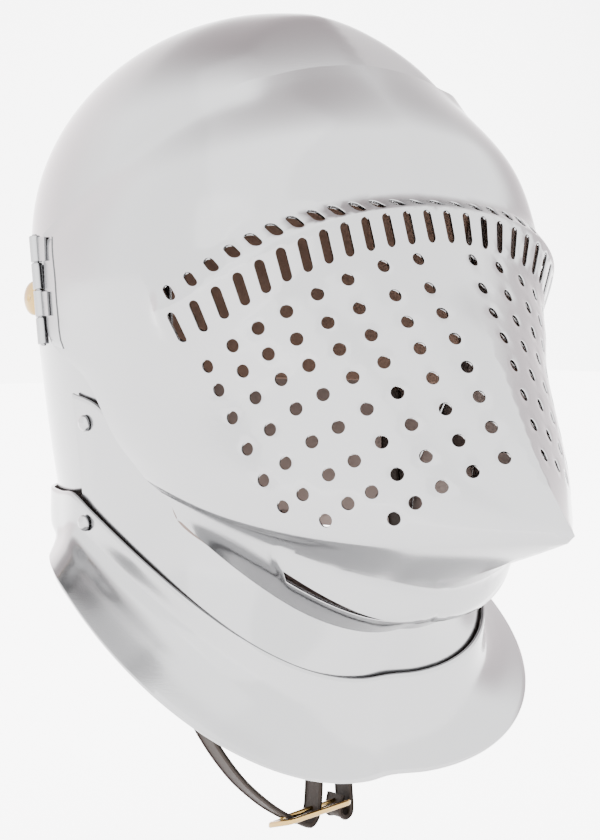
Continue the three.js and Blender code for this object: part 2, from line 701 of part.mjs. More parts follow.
// Hinge: knuckles on one leaning line, every second one on the visor's leaf
const hingeX = skullHalfWidth + 5.6;
const hingePoint = (along) => point(
  hingeX,
  hingeY - hingeLean * along,
  crownZ - hingeDrop - along,
);
const hingeAxis = hingePoint(1).sub(hingePoint(0)).normalize();
const leafOuterEdge = [0.5, 1, 2, 3, 3.5, 4];
const leafFrom = 0.955;
const leafDrop = 112; // the leaf's top, and how tall it is
const leafTall = 51;
const leafRows = (stand) => leafOuterEdge.map((v) => [leafFrom, 1].map((t) => {
  const outside = visorSkin(v, t, 0);
  const normal = outside.clone().sub(visorSkin(v, t, visorPlate)).normalize();
  return outside.addScaledVector(normal, stand);
}));
const webPlate = 1; // the tongue between a knuckle and its leaf or arm
const pinLength = hingeLength + 2;

for (const [hand, side] of sides) {
  const flip = (grid) => grid.map((row) => row.map((p) => mirrored(p, side)));
  const knuckleLength = (hingeLength - (knuckles - 1) * gap) / knuckles;
  const barrels = [];
  for (let k = 0; k < knuckles; k += 1) {
    const start = -hingeLength / 2 + k * (knuckleLength + gap);
    const middle = mirrored(hingePoint(start + knuckleLength / 2), side);
    const axis = mirrored(hingeAxis, side);
    const r = hingeBarrel / 2;
    const half = knuckleLength / 2;
    const solid = turned([[0, -half], [r, -half], [r, half], [0, half]], 8, middle, axis);
    // The web joins the knuckle to its leaf or arm
    const front = k % 2 === 0;
    const web = [];
    for (const end of [-1, 1]) {
      const at = hingePoint(start + knuckleLength / 2 + end * 0.94 * half);
      const row = [at];
      if (front) {
        const drop = crownZ - at.z;
        const down = clamp((drop - leafDrop) / leafTall, 0, 1);
        const v = lerp(leafOuterEdge[0], leafOuterEdge.at(-1), down);
        const edge = visorSkin(v, 0.985, 0);
        row.push(point(edge.x + plateFit + leafPlate / 2, edge.y, at.z));
      } else {
        row.push(point(armX + armPlate / 2, armStart + 1, at.z));
      }
      web.push(row.map((p) => mirrored(p, side)));
    }
    const thick = (sign) => {
      const shift = point(side * sign * webPlate / 2, 0, 0);
      return web.map((row) => row.map((p) => p.clone().add(shift)));
    };
    barrels.push([front, solid.add(sheetSolid(thick(1), thick(-1), false))]);
  }
  const rod = (radius, half) => turned([[0, -half], [radius, -half], [radius, half], [0, half]], 8,
    mirrored(hingePoint(0), side), mirrored(hingeAxis, side));
  const bored = rod(hingePin / 2 + gap, hingeLength);
  const leaf = sheetSolid(flip(leafRows(plateFit + leafPlate)), flip(leafRows(plateFit)), false);
  const frontKnuckles = barrels.filter(([front]) => front).map(([, solid]) => solid);
  const rearKnuckles = barrels.filter(([front]) => !front).map(([, solid]) => solid);
  const arm = sidePlate(armOutline, armX, armX + armPlate, side);

  const pivotBase = point(side * (armX + armPlate + gap), pivotY, crownZ - pivotDrop);
  const across = point(side, 0, 0);
  const grip = Math.abs(pivotBase.x) - skullSide(pivotY, pivotDrop)[0].x + skullPlate + 7 * gap;
  const pivot = rivet(pivotBase, across, pivotHead, pivotDome, pivotShank, grip);
  const [floor, lip, above] = [pivotDome - 0.7, pivotDome + 0.1, pivotDome + 1];
  const dimple = turned([[0, floor], [1.4, lip], [1.4, above], [0, above]], 14, pivotBase, across);
  place(`pivot_rivet_${hand}`, pivot.subtract(dimple), brass);
  skullCutters.push(bore(pivotBase, across, pivotShank, rivetReach));
  linerCutters.push(bore(pivotBase, across, 1.7 * pivotShank + 2, rivetReach));
  place(`hinge_front_${hand}`, unite([leaf, ...frontKnuckles]).subtract(bored), hingeSteel);
  place(`hinge_rear_${hand}`, unite([arm, ...rearKnuckles]).subtract(bored)
    .subtract(bore(pivotBase, across, pivotShank, rivetReach)), hingeSteel);
  place(`hinge_pin_${hand}`, rod(hingePin / 2, pinLength / 2), hingeSteel);

  // The cheek rivet goes through chin plate, skull and strap end
  const [cheekSeat, cheekOut] = skullSide(cheekRivetY, cheekRivetDrop);
  const cheekStand = plateFit + bevorPlate + gap;
  const cheekBase = mirrored(cheekSeat.addScaledVector(cheekOut, cheekStand), side);
  const cheekGrip = cheekStand + skullPlate + gap + strapWall + 3 * gap;
  const cheekAxis = mirrored(cheekOut, side);
  const cheekRivet = rivet(cheekBase, cheekAxis, rivetHead, rivetDome, rivetShank, cheekGrip);
  place(`cheek_rivet_${hand}`, cheekRivet, steel);
  [skullCutters, bevorCutters, strapCutters].forEach((list) => {
    list.push(bore(cheekBase, cheekAxis, rivetShank, rivetReach));
  });
  // and the collar rivet through collar, chin plate and skull
  const [collarSeat, collarOut] = skullSide(collarRivetY, collarRivetDrop);
  const collarStand = collarRoom + 7 * gap;
  const collarBase = mirrored(collarSeat.addScaledVector(collarOut, collarStand), side);
  const collarAxis = mirrored(collarOut, side);
  const collarGrip = collarStand + skullPlate + gap;
  const collarRivet = rivet(collarBase, collarAxis, rivetHead, rivetDome, rivetShank, collarGrip);
  place(`collar_rivet_${hand}`, collarRivet, steel);
  [skullCutters, bevorCutters, collarCutters].forEach((list) => {
    list.push(bore(collarBase, collarAxis, rivetShank, rivetReach));
  });
}

const skullEdge = 258; // the skull's lower edge, inside the collar
const linerBack = 3; // the liner ends this far inside the face opening's edge
const linerOpening = faceOpening.map(([y, drop]) => [
  y + (y > -far ? linerBack : 0),
  drop - (drop === faceBrowDrop ? linerBack : 0),
]);
place('visor', visor, steel);
const skullBody = shell(0, skullPlate, skullEdge, faceOpening, skullLevels, skullTurns);
place('skull', carve(skullBody, skullCutters), steel);
const linerBody = shell(skullPlate + linerFit, linerWall, linerDepth, linerOpening, skullLevels, skullTurns);
place('lining', carve(linerBody, linerCutters), linerLeather);
place('bevor', carve(sheetSolid(bevorOuter, bevorInner, false), bevorCutters), steel);
place('collar', carve(sheetSolid(collarOuter, collarInner, true), collarCutters), steel);

// Leather band along a path, its width along one direction
function band(path, broadways, width, wall) {
  const skins = [1, -1].map((face) => path.map((p, i) => {
    const along = path[Math.min(i + 1, path.length - 1)].clone().sub(path[Math.max(i - 1, 0)]);
    const lift = along.cross(broadways).normalize().multiplyScalar(face * wall / 2);
    return [-1, 1].map((edge) => p.clone().addScaledVector(broadways, edge * width / 2).add(lift));
  }));
  return sheetSolid(skins[0], skins[1], false);
}

// Chin strap: two branches from the cheek rivets, down inside the collar, to the buckle under it
const strapY = -14;
const buckleDrop = 401;
const buckleLong = 38;
const buckleBroad = 27;
const buckleBar = 3;
const buckleMiddle = 7;
const skullAtRivet = skullPoint(cheekRivetDrop, Math.PI / 2, 0).x;
const strapEndX = skullAtRivet - skullPlate - 1.5 * gap - strapWall / 2;
const branch = [
  // x, y, drop
  [strapEndX - 0.1, 24, 190],
  [strapEndX - 0.6, 23, 203],
  [strapEndX - 5, 19, 222],
  [85, 12, 245],
  [82, 3, 268],
  [77, -6, 300],
  [69, strapY, 330],
  [57, strapY, 353],
].map(([x, y, drop]) => point(x, y, crownZ - drop));
const buckleLow = buckleMiddle - buckleLong / 2;
const buckleHigh = buckleMiddle + buckleLong / 2;
const broadways = point(0, 1, 0);
const longBranch = [
  ...branch.map((p) => mirrored(p, -1)),
  ...[
    // x, drop
    [-32, 386],
    [-18, buckleDrop],
    [buckleLow + 1, buckleDrop + 5.2],
    [buckleLow + 7, buckleDrop + 3],
    [buckleLow + 10, buckleDrop - 4],
    [buckleLow + 12, buckleDrop - 24],
  ].map(([x, drop]) => point(x, strapY, crownZ - drop)),
];
const eyeRadius = 0.71 * buckleBar + gap + strapWall / 2;
const eye = [];
for (let k = 0; k <= 6; k += 1) {
  const a = Math.PI * (0.05 - k / 6);
  const [ahead, up] = [eyeRadius * Math.cos(a), eyeRadius * Math.sin(a)];
  eye.push(point(buckleHigh + ahead, strapY, crownZ - buckleDrop + up));
}
const shortBranch = [
  ...branch,
  point(40, strapY, crownZ - 376),
  ...eye,
  point(buckleHigh + 2 - eyeRadius, strapY, crownZ - buckleDrop + 8),
];
for (const [name, path] of [['chin_strap_right', longBranch], ['chin_strap_left', shortBranch]]) {
  place(name, carve(band(path, broadways, strapWidth, strapWall), strapCutters), strapLeather);
}

// Buckle: a flat frame of square bar that both branches go through
const frameShape = new THREE.Shape();
const framed = (shape, x, y) => {
  shape.moveTo(buckleMiddle - x, strapY - y);
  shape.lineTo(buckleMiddle + x, strapY - y);
  shape.lineTo(buckleMiddle + x, strapY + y);
  shape.lineTo(buckleMiddle - x, strapY + y);
};
framed(frameShape, (buckleLong + buckleBar) / 2, buckleBroad / 2);
const frameHole = new THREE.Path();
framed(frameHole, (buckleLong - buckleBar) / 2, buckleBroad / 2 - buckleBar);
frameShape.holes.push(frameHole);
const frameGeometry = new THREE.ExtrudeGeometry(frameShape, { depth: buckleBar, bevelEnabled: false });
frameGeometry.translate(0, 0, crownZ - buckleDrop - buckleBar / 2);
place('strap_buckle', toSolid(frameGeometry), brass);

export default helmet;
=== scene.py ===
import math

import bpy
import numpy as np
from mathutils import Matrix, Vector
from mathutils.geometry import delaunay_2d_cdt


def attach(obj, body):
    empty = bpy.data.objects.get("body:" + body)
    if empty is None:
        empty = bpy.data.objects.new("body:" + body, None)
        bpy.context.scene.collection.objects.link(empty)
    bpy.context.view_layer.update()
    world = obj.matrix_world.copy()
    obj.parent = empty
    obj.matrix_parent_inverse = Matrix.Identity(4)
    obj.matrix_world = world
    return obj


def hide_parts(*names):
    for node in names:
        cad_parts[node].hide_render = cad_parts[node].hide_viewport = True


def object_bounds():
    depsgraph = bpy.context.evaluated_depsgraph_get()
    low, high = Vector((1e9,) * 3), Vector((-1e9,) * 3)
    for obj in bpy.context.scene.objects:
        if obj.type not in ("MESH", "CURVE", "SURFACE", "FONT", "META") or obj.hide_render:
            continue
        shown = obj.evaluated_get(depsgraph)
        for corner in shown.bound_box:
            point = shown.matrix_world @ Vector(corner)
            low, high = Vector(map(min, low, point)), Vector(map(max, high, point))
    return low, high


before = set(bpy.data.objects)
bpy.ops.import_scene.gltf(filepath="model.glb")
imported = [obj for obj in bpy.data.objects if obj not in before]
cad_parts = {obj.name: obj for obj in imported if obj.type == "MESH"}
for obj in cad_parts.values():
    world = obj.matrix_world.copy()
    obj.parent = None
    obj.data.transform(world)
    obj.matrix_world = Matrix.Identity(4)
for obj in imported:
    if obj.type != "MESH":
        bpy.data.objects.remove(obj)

cad_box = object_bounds()

# Camera: the photograph is a long-lens studio shot from the wearer's right front, a little above the
# collar. The whole helmet fills the upright frame.
FRAME_HEIGHT = 840
LENS_PIXELS = 2201.3
SENSOR_TALL = 36.0
camera_place = Vector((-0.6743, -0.8772, -0.1376))
camera_aim = Vector((0.61566, 0.78616, -0.05398))
lens = bpy.data.cameras.new("photo_camera")
lens.sensor_fit = "VERTICAL"
lens.sensor_height = SENSOR_TALL
lens.lens = LENS_PIXELS * SENSOR_TALL / FRAME_HEIGHT
camera = bpy.data.objects.new("photo_camera", lens)
camera.location = camera_place
camera.rotation_euler = camera_aim.to_track_quat("-Z", "Y").to_euler()
bpy.context.collection.objects.link(camera)
bpy.context.scene.camera = camera

# Studio: a white sweep under the helmet inside a white tent that is duller overhead and far behind, with two
# wide soft lamps. Polished plate shows what stands round it, so everything is large and even.
TENT_WHITE = (1.0, 1.0, 1.0, 1.0)
# Duller parts of the tent: which way each lies, the cosines where it begins and is full, and its colour
TENT_SHADES = [
    ((0.35, 0.45, 0.82), 0.62, 0.98, (0.26, 0.23, 0.235, 1.0)),
    ((0.97, 0.21, 0.10), 0.80, 0.98, (0.42, 0.38, 0.39, 1.0)),
    ((-0.04, 0.99, 0.10), 0.80, 0.98, (0.80, 0.73, 0.74, 1.0)),
]
TENT_STRENGTH = 7.5
FLOOR_PALE = (0.93, 0.93, 0.93, 1.0)
FLOOR_GLOW = 3.2
FLOOR_DROP, FLOOR_WIDE = 0.075, 14


def plain_material(name, colour, rough, metal=0.0):
    made = bpy.data.materials.new(name)
    made.use_nodes = True
    shader = made.node_tree.nodes["Principled BSDF"]
    shader.inputs["Base Color"].default_value = colour
    shader.inputs["Roughness"].default_value = rough
    shader.inputs["Metallic"].default_value = metal
    return made


def add_node(tree, kind, *values):
    """A new shader node; values are pairs of an input and what it is set to."""
    made = tree.nodes.new("ShaderNode" + kind)
    for socket, value in values:
        made.inputs[socket].default_value = value
    return made


room = bpy.data.worlds.new("studio_tent")
room.use_nodes = True
tent = room.node_tree
outward = add_node(tent, "TexCoord")
tent_colour = add_node(tent, "RGB").outputs[0]
tent_colour.default_value = TENT_WHITE
for way, begins, full, colour in TENT_SHADES:
    towards = add_node(tent, "VectorMath", (1, way))
    towards.operation = "DOT_PRODUCT"
    spread = add_node(tent, "MapRange", ("From Min", begins), ("From Max", full))
    spread.interpolation_type = "SMOOTHSTEP"
    shade = add_node(tent, "Mix", (7, colour))
    shade.data_type = "RGBA"
    tent.links.new(outward.outputs["Generated"], towards.inputs[0])
    tent.links.new(towards.outputs["Value"], spread.inputs["Value"])
    tent.links.new(spread.outputs["Result"], shade.inputs[0])
    tent.links.new(tent_colour, shade.inputs[6])
    tent_colour = shade.outputs[2]
tent.links.new(tent_colour, tent.nodes["Background"].inputs["Color"])
tent.nodes["Background"].inputs["Strength"].default_value = TENT_STRENGTH
bpy.context.scene.world = room

bpy.ops.mesh.primitive_plane_add(size=FLOOR_WIDE, location=(0, 0, cad_box[0][2] - FLOOR_DROP))
floor = bpy.context.object
floor.name = "floor"
floor_pale = plain_material("floor_pale", FLOOR_PALE, 0.9)
floor_shader = floor_pale.node_tree.nodes["Principled BSDF"]
floor_shader.inputs["Emission Color"].default_value = FLOOR_PALE
floor_shader.inputs["Emission Strength"].default_value = FLOOR_GLOW
floor.data.materials.append(floor_pale)


def lamp(name, place, aim, wide, tall, watts):
    light = bpy.data.lights.new(name, "AREA")
    light.shape = "RECTANGLE"
    light.size, light.size_y = wide, tall
    light.energy = watts
    shown = bpy.data.objects.new(name, light)
    shown.location = place
    shown.rotation_euler = (Vector(aim) - Vector(place)).to_track_quat("-Z", "Y").to_euler()
    bpy.context.collection.objects.link(shown)


LAMP_AIM, LAMP_WATTS = (0, 0, -0.15), 18
lamp("lamp_over", (-0.6, -0.6, 1.8), LAMP_AIM, 2.8, 2.8, LAMP_WATTS)
lamp("lamp_right", (-1.9, -0.9, 0.1), LAMP_AIM, 2.2, 2.4, LAMP_WATTS)

# Skull: one steel plate raised to a bowl with a faint keel, drawn in towards the neck, open at the face.
# Sizes here are millimetres, measured down from the outer crown.
MM = 0.001
HALF_WIDTH = 104.0
FRONT = 115.0
BACK = 118.0
AXIS_Y = 20.0
DOME = 110.0
DEPTH = 250.0
SKULL_EDGE = 258.0
PLATE = 2.0
LINER = 2.4
GAP = 0.35
CROWN_Z = LINER + GAP + PLATE
PLAN_SQUARE = 2.35
DOME_SQUARE = 2.12
NECK_SHARE = 0.875
NAPE_SHARE = 0.86
KEEL, KEEL_WIDE, KEEL_FADE = 2.2, 0.12, 1.5
CROWN_LEAN, LEAN_CURVE = 19.0, 1.5
CROWN_PINCH = 0.8
NECK_CURVE, NAPE_CURVE, NECK_LIMIT = 1.6, 1.5, 1.1
# The brow stays inside the circle that the visor swings on about its two rivets
PIVOT_Y, PIVOT_DROP = 62.5, 141.0
SWING_RADIUS = 167.0
SWING_PINCH = 0.2
SWING_BLEND, FAR_OVER = 1.5, 300
BROW_DROP = 84.0
CHEEK_Y = -38.0
BROW_Y = CHEEK_Y - 26
JAW_Y = 2.0


def skull_point(drop, turn, inset=0.0):
    """Places on the skull at a drop below the crown; turn 0 is the brow, half a turn the nape."""
    drop, turn = np.broadcast_arrays(np.asarray(drop, float), np.asarray(turn, float))
    rise = np.clip(1 - drop / DOME, 0, 1)
    neck = np.clip((drop - DOME) / (DEPTH - DOME), 0, NECK_LIMIT)
    girth = np.maximum(1 - rise ** DOME_SQUARE, 0) ** (1 / DOME_SQUARE)
    c, s = np.cos(turn), np.sin(turn)
    square = PLAN_SQUARE - np.where(c > 0, CROWN_PINCH * rise ** 3, 0)
    squared = (np.abs(c) ** square + np.abs(s) ** square) ** (-1 / square)
    axis = AXIS_Y - CROWN_LEAN * rise ** LEAN_CURVE
    keel = KEEL * np.exp(-((s / KEEL_WIDE) ** 2)) * np.minimum(1, girth * KEEL_FADE)
    run = girth * squared
    half = HALF_WIDTH * (1 - (1 - NECK_SHARE) * neck ** NECK_CURVE) - inset
    back = BACK * (1 - (1 - NAPE_SHARE) * neck ** NAPE_CURVE)
    ahead = np.where(c > 0, FRONT, back) - inset
    height = CROWN_Z - drop - inset * np.sqrt(rise)
    x, y = half * run * s, axis - (ahead * run + keel) * c
    swing = SWING_RADIUS - SWING_PINCH * (np.hypot(x, KEEL) - KEEL) - inset
    foremost = PIVOT_Y - np.sqrt(np.maximum(swing ** 2 - (PIVOT_DROP - drop) ** 2, 1))
    over = np.where(c > 0, np.minimum((foremost - y) / SWING_BLEND, FAR_OVER), -FAR_OVER)
    return np.stack([x, y + SWING_BLEND * np.log1p(np.exp(over)), height], axis=-1)


def unit(v):
    """Directions made one long."""
    return v / np.maximum(np.linalg.norm(v, axis=-1, keepdims=True), 1e-12)


def skull_normal(drop, turn):
    """Outward normals of the skull."""
    step = 0.02
    around = skull_point(drop, turn + step) - skull_point(drop, turn - step)
    down = skull_point(drop + step, turn) - skull_point(np.maximum(drop - step, 1e-4), turn)
    return unit(np.cross(down, around))


LOWEST_DROP = 1.04 * DEPTH
WALK_DOWN, WALK_ROUND, WALK_END = 16, 0.2, 0.002


def nearest_on_skull(p):
    """Drop and turn of the skull's nearest place to each point, by a walk in shrinking steps."""
    drop = np.clip(CROWN_Z - p[:, 2], 1, LOWEST_DROP)
    turn = np.arctan2(p[:, 0] / HALF_WIDTH, (AXIS_Y - p[:, 1]) / FRONT)
    best = np.linalg.norm(skull_point(drop, turn) - p, axis=1)
    step = 1.0
    while step > WALK_END:
        for a, b in ((1, 0), (-1, 0), (0, 1), (0, -1)) * 2:
            next_drop = np.clip(drop + WALK_DOWN * a * step, 1, LOWEST_DROP)
            next_turn = turn + WALK_ROUND * b * step
            reach = np.linalg.norm(skull_point(next_drop, next_turn) - p, axis=1)
            closer = reach < best
            drop = np.where(closer, next_drop, drop)
            turn = np.where(closer, next_turn, turn)
            best = np.where(closer, reach, best)
        step /= 2
    return drop, turn


ROOM_SOFT, ROOM_STIFF = 0.5, 30
FACE_FADE_DOWN, FACE_FADE_AHEAD = 14, 10


def clear_of_skull(p, room):
    """Points moved out softly so that they stand at least a room off the skull's wall."""
    drop, turn = nearest_on_skull(p)
    normal = skull_normal(drop, turn)
    stand = np.sum((p - skull_point(drop, turn)) * normal, axis=1)
    lack = (room - stand) / ROOM_SOFT
    push = ROOM_SOFT * np.where(lack > ROOM_STIFF, lack, np.log1p(np.exp(np.minimum(lack, ROOM_STIFF))))
    open_face = np.clip((drop - BROW_DROP) / FACE_FADE_DOWN, 0, 1)
    open_face = open_face * np.clip((CHEEK_Y - p[:, 1]) / FACE_FADE_AHEAD, 0, 1)
    return p + normal * (push * (1 - open_face))[:, None]


def add_mesh(name, places, faces, material, smooth_below=35, inside=None, inside_and_shade_material=None):
    """A mesh object from places in millimetres, smooth except where it bends sharply."""
    mesh = bpy.data.meshes.new(name)
    mesh.from_pydata((np.asarray(places, float) * MM).tolist(), [], [tuple(map(int, f)) for f in faces])
    mesh.validate()
    mesh.update()
    mesh.polygons.foreach_set("use_smooth", [True] * len(mesh.polygons))
    mesh.set_sharp_from_angle(angle=math.radians(smooth_below))
    mesh.materials.append(material)
    # The inside list picks the faces that take the second material: the inner faces, and on the bevor also
    # the painted shade behind the mouth
    if inside is not None:
        mesh.materials.append(inside_and_shade_material)
        mesh.polygons.foreach_set("material_index", [int(i) for i in inside])
    made = bpy.data.objects.new(name, mesh)
    bpy.context.collection.objects.link(made)
    return made


GRAIN_STRETCH, GRAIN_HIGH, POLISH_WAVES = 9.0, 0.0004, 14
SMOOTHEST, ROUGHEST = 0.82, 1.2


def steel_material(name, colour, rough, grain, grain_depth):
    """Satin steel: a metal with fine rubbed grain and faint hand-polishing waves."""
    made = plain_material(name, colour, rough, 1.0)
    tree = made.node_tree
    shader = tree.nodes["Principled BSDF"]
    place = add_node(tree, "TexCoord")
    stretch = add_node(tree, "Mapping", ("Scale", (1.0, 1.0, GRAIN_STRETCH)))
    fine = add_node(tree, "TexNoise", ("Scale", grain), ("Detail", 4))
    broad = add_node(tree, "TexNoise", ("Scale", POLISH_WAVES), ("Detail", 2))
    spread = add_node(tree, "MapRange", ("To Min", rough * SMOOTHEST), ("To Max", rough * ROUGHEST))
    bump = add_node(tree, "Bump", ("Strength", grain_depth), ("Distance", GRAIN_HIGH))
    tree.links.new(place.outputs["Object"], stretch.inputs["Vector"])
    tree.links.new(stretch.outputs["Vector"], fine.inputs["Vector"])
    tree.links.new(place.outputs["Object"], broad.inputs["Vector"])
    tree.links.new(broad.outputs["Fac"], spread.inputs["Value"])
    tree.links.new(spread.outputs["Result"], shader.inputs["Roughness"])
    tree.links.new(fine.outputs["Fac"], bump.inputs["Height"])
    tree.links.new(bump.outputs["Normal"], shader.inputs["Normal"])
    return made


def along_line(corners, step):
    """Points along a line of corners, about a step apart, the last corner left out."""
    points = []
    for a, b in zip(corners[:-1], corners[1:]):
        a, b = np.array(a, float), np.array(b, float)
        count = max(1, round(float(np.linalg.norm(b - a)) / step))
        points += [a + (b - a) * k / count for k in range(count)]
    return points


# Filling of a plate: distance of its rows, and how far it keeps off long lines and small holes, in steps
ROW_APART, OFF_LINES, OFF_HOLES, LONG_LOOP = 0.87, 0.62, 0.45, 40
BORDER, FREE = -1, -2
ON_SEAM = 1e-4
EDGE_STEPS = ((0.12, 0.6), (0.35, 1.0), (0.65, 1.0), (0.88, 0.6))
BORE_STEPS = (0.05, 0.2, 0.8, 0.95)


def filling_places(border, holes, creases, step):
    """Flat places on a staggered grid inside a border, clear of every line and hole."""
    low, high = border.min(axis=0), border.max(axis=0)
    rows = np.arange(low[1] + step / 2, high[1], step * ROW_APART)
    filling = np.array([(x + (step / 2 if k % 2 else 0), y) for k, y in enumerate(rows)
                        for x in np.arange(low[0] + step / 4, high[0], step)])
    inside = np.zeros(len(filling), bool)
    for (x0, y0), (x1, y1) in zip(border, np.roll(border, -1, axis=0)):
        if y0 != y1:
            crosses = (y0 > filling[:, 1]) != (y1 > filling[:, 1])
            inside ^= crosses & (filling[:, 0] < (x1 - x0) * (filling[:, 1] - y0) / (y1 - y0) + x0)
    filling = filling[inside]
    for loop in [border] + [face_loop for face_loop, _ in holes] + [np.array(line) for line in creases]:
        off = OFF_LINES if len(loop) > LONG_LOOP or loop is border else OFF_HOLES
        for chunk in np.array_split(loop, max(1, len(loop) // 200)):
            near = np.min(np.linalg.norm(filling[:, None] - chunk[None], axis=2), axis=1)
            filling = filling[near > off * step]
    for face_loop, _ in holes:
        middle = face_loop.mean(axis=0)
        reach = np.abs(face_loop - middle).max(axis=0)
        filling = filling[np.any(np.abs(filling - middle) > reach, axis=1)]
    return filling


def half_plate(outline, step, outer_at, inner_at, holes=(), creases=(), edge_round=0.25):
    """One closed plate, drawn flat as the half on the wearer's left and mirrored over the middle plane.

    outline is a closed loop of flat places; holes are pairs of loops, at the face and in the bore;
    creases are lines of flat places that edges follow. outer_at and inner_at give the skins in space.
    The last list returned tells which faces lie on the inner skin.
    """
    flat, owner, edges = [], [], []

    def take(line, who, pairs):
        edges.extend((len(flat) + k, len(flat) + (k + 1) % len(line)) for k in range(pairs))
        flat.extend(tuple(p) for p in line)
        owner.extend([who] * len(line))

    take(outline, BORDER, len(outline))
    for h, (face_loop, _) in enumerate(holes):
        take(face_loop, h, len(face_loop))
    for line in creases:
        take(line, FREE, len(line) - 1)
    take(filling_places(np.array(outline), holes, creases, step), FREE, 0)
    found = delaunay_2d_cdt([Vector(p) for p in flat], edges, [list(range(len(outline)))], 1, 1e-5)
    flat_out = np.array([tuple(p) for p in found[0]])
    triangles = np.array(found[2])
    source = np.array([ids[0] if ids else -1 for ids in found[3]])
    belongs = np.array([owner[k] if k >= 0 else FREE for k in source])
    for h in range(len(holes)):
        member = belongs == h
        triangles = triangles[~member[triangles].all(axis=1)]
    outer, inner = outer_at(flat_out), inner_at(flat_out)
    count = len(flat_out)
    on_seam = np.abs(outer[:, 0]) < ON_SEAM
    parts = [outer, inner]
    faces = [tuple(t) for t in triangles] + [tuple(t[::-1] + count) for t in triangles]

    def join_skins(at, pairs, layers):
        """Adds layers of places between the skins along an edge, and the faces that join them."""
        start = sum(len(part) for part in parts)
        ladder = {a: [a] + [start + len(at) * k + i for k in range(len(layers))] + [a + count]
                  for i, a in enumerate(at)}
        parts.extend(layers)
        for a, b in pairs:
            for k in range(len(layers) + 1):
                faces.append((ladder[b][k], ladder[a][k], ladder[a][k + 1], ladder[b][k + 1]))

    ways = dict.fromkeys((a, b) for t in triangles for a, b in ((t[0], t[1]), (t[1], t[2]), (t[2], t[0])))
    rim = [(a, b) for a, b in ways if (b, a) not in ways and not (on_seam[a] and on_seam[b])]
    for h, (_, bore_loop) in enumerate(holes):
        ring = [(a, b) for a, b in rim if belongs[a] == h and belongs[b] == h]
        at = sorted({a for pair in ring for a in pair})
        first = owner.index(h)
        bore = np.array([bore_loop[source[a] - first] for a in at])
        lip = 0.3 * flat_out[at] + 0.7 * bore
        join_skins(at, ring, [outer_at(where) * (1 - depth) + inner_at(where) * depth
                              for where, depth in zip((lip, bore, bore, lip), BORE_STEPS)])
    edge = [(a, b) for a, b in rim if belongs[a] < 0 or belongs[a] != belongs[b]]
    at = sorted({a for pair in edge for a in pair})
    out = np.zeros((count, 3))
    for a, b in edge:
        beyond = unit(np.cross(inner[a] - outer[a], outer[b] - outer[a]))
        out[a] += beyond
        out[b] += beyond
    out = unit(out[at])
    out[on_seam[at], 0] = 0
    wall = np.linalg.norm(outer[at] - inner[at], axis=1, keepdims=True)
    join_skins(at, edge, [outer[at] * (1 - depth) + inner[at] * depth + out * wall * edge_round * stand
                          for depth, stand in EDGE_STEPS])
    places = np.concatenate(parts)
    places[np.abs(places[:, 0]) < ON_SEAM, 0] = 0
    twin = np.arange(len(places))
    other = np.flatnonzero(places[:, 0] != 0)
    twin[other] = len(places) + np.arange(len(other))
    inside = [len(triangles) <= k < 2 * len(triangles) for k in range(len(faces))] * 2
    faces += [tuple(twin[list(f)][::-1]) for f in faces]
    return np.concatenate([places, places[other] * (-1, 1, 1)]), faces, inside


def face_out(places, faces):
    """Turns a closed body's faces outward if they all face in."""
    volume = 0.0
    for f in faces:
        for k in range(1, len(f) - 1):
            a, b, c = places[f[0]], places[f[k]], places[f[k + 1]]
            volume += float(np.dot(a, np.cross(b, c)))
    return faces if volume > 0 else [tuple(f)[::-1] for f in faces]


def chord_runs(rows):
    """How far each row of places lies along the rows, as the mean of all its places."""
    steps = np.linalg.norm(np.diff(rows, axis=0), axis=-1).reshape(len(rows) - 1, -1)
    return np.concatenate([[0], np.cumsum(steps.mean(axis=1))])


plate_steel = steel_material("satin_plate", (0.225, 0.225, 0.229, 1), 0.16, 260, 0.04)
# Dark brown for the plates' inner faces; the same material also serves as painted shade on the bevor's outer
# face behind the visor's mouth
browned_inside_and_painted_shade = plain_material("browned_inside_and_painted_shade", (0.09, 0.062, 0.052, 1), 0.7)

SKULL_STEP = 6.0
# The skull drawn flat: a disc about the crown, as far out as the steel runs from there
run_drops = np.concatenate([DOME * np.linspace(0, 1, 120) ** 2, np.linspace(DOME, 1.05 * SKULL_EDGE, 60)[1:]])
run_side = skull_point(np.maximum(run_drops, 1e-6), math.pi / 2)
skull_runs = chord_runs(run_side)


def skull_flat(drop, turn):
    """Where a place on the skull lies when the skull is drawn flat."""
    run = np.interp(drop, run_drops, skull_runs)
    return np.stack([run * np.sin(turn), run * np.cos(turn)], axis=-1)


def skull_unflat(flat):
    """The drop and turn of a flat place."""
    run = np.linalg.norm(flat, axis=1)
    turn = np.arctan2(np.where(np.abs(flat[:, 0]) < 1e-7, 0, flat[:, 0]), flat[:, 1])
    return np.maximum(np.interp(run, skull_runs, run_drops), 1e-6), turn


def face_edge_y(drop):
    """How far forward the skull's side wall reaches at a drop: the edge of the face opening."""
    return np.interp(drop, [BROW_DROP, BROW_DROP + 14, BROW_DROP + 40, BROW_DROP + 80, DEPTH - 22],
                     [BROW_Y, CHEEK_Y - 6, CHEEK_Y, CHEEK_Y, JAW_Y])


def half_turn_at(y, drop):
    """The turn at which the skull's side passes a distance y, at one drop."""
    turns = np.linspace(0, math.pi, 721)
    return float(np.interp(y, skull_point(drop, turns)[:, 1], turns))


def skull_places(inset):
    """A function that gives a flat place's place in space, an inset under the skull's face."""
    def at(flat):
        drop, turn = skull_unflat(flat)
        return skull_point(drop, turn, inset)
    return at


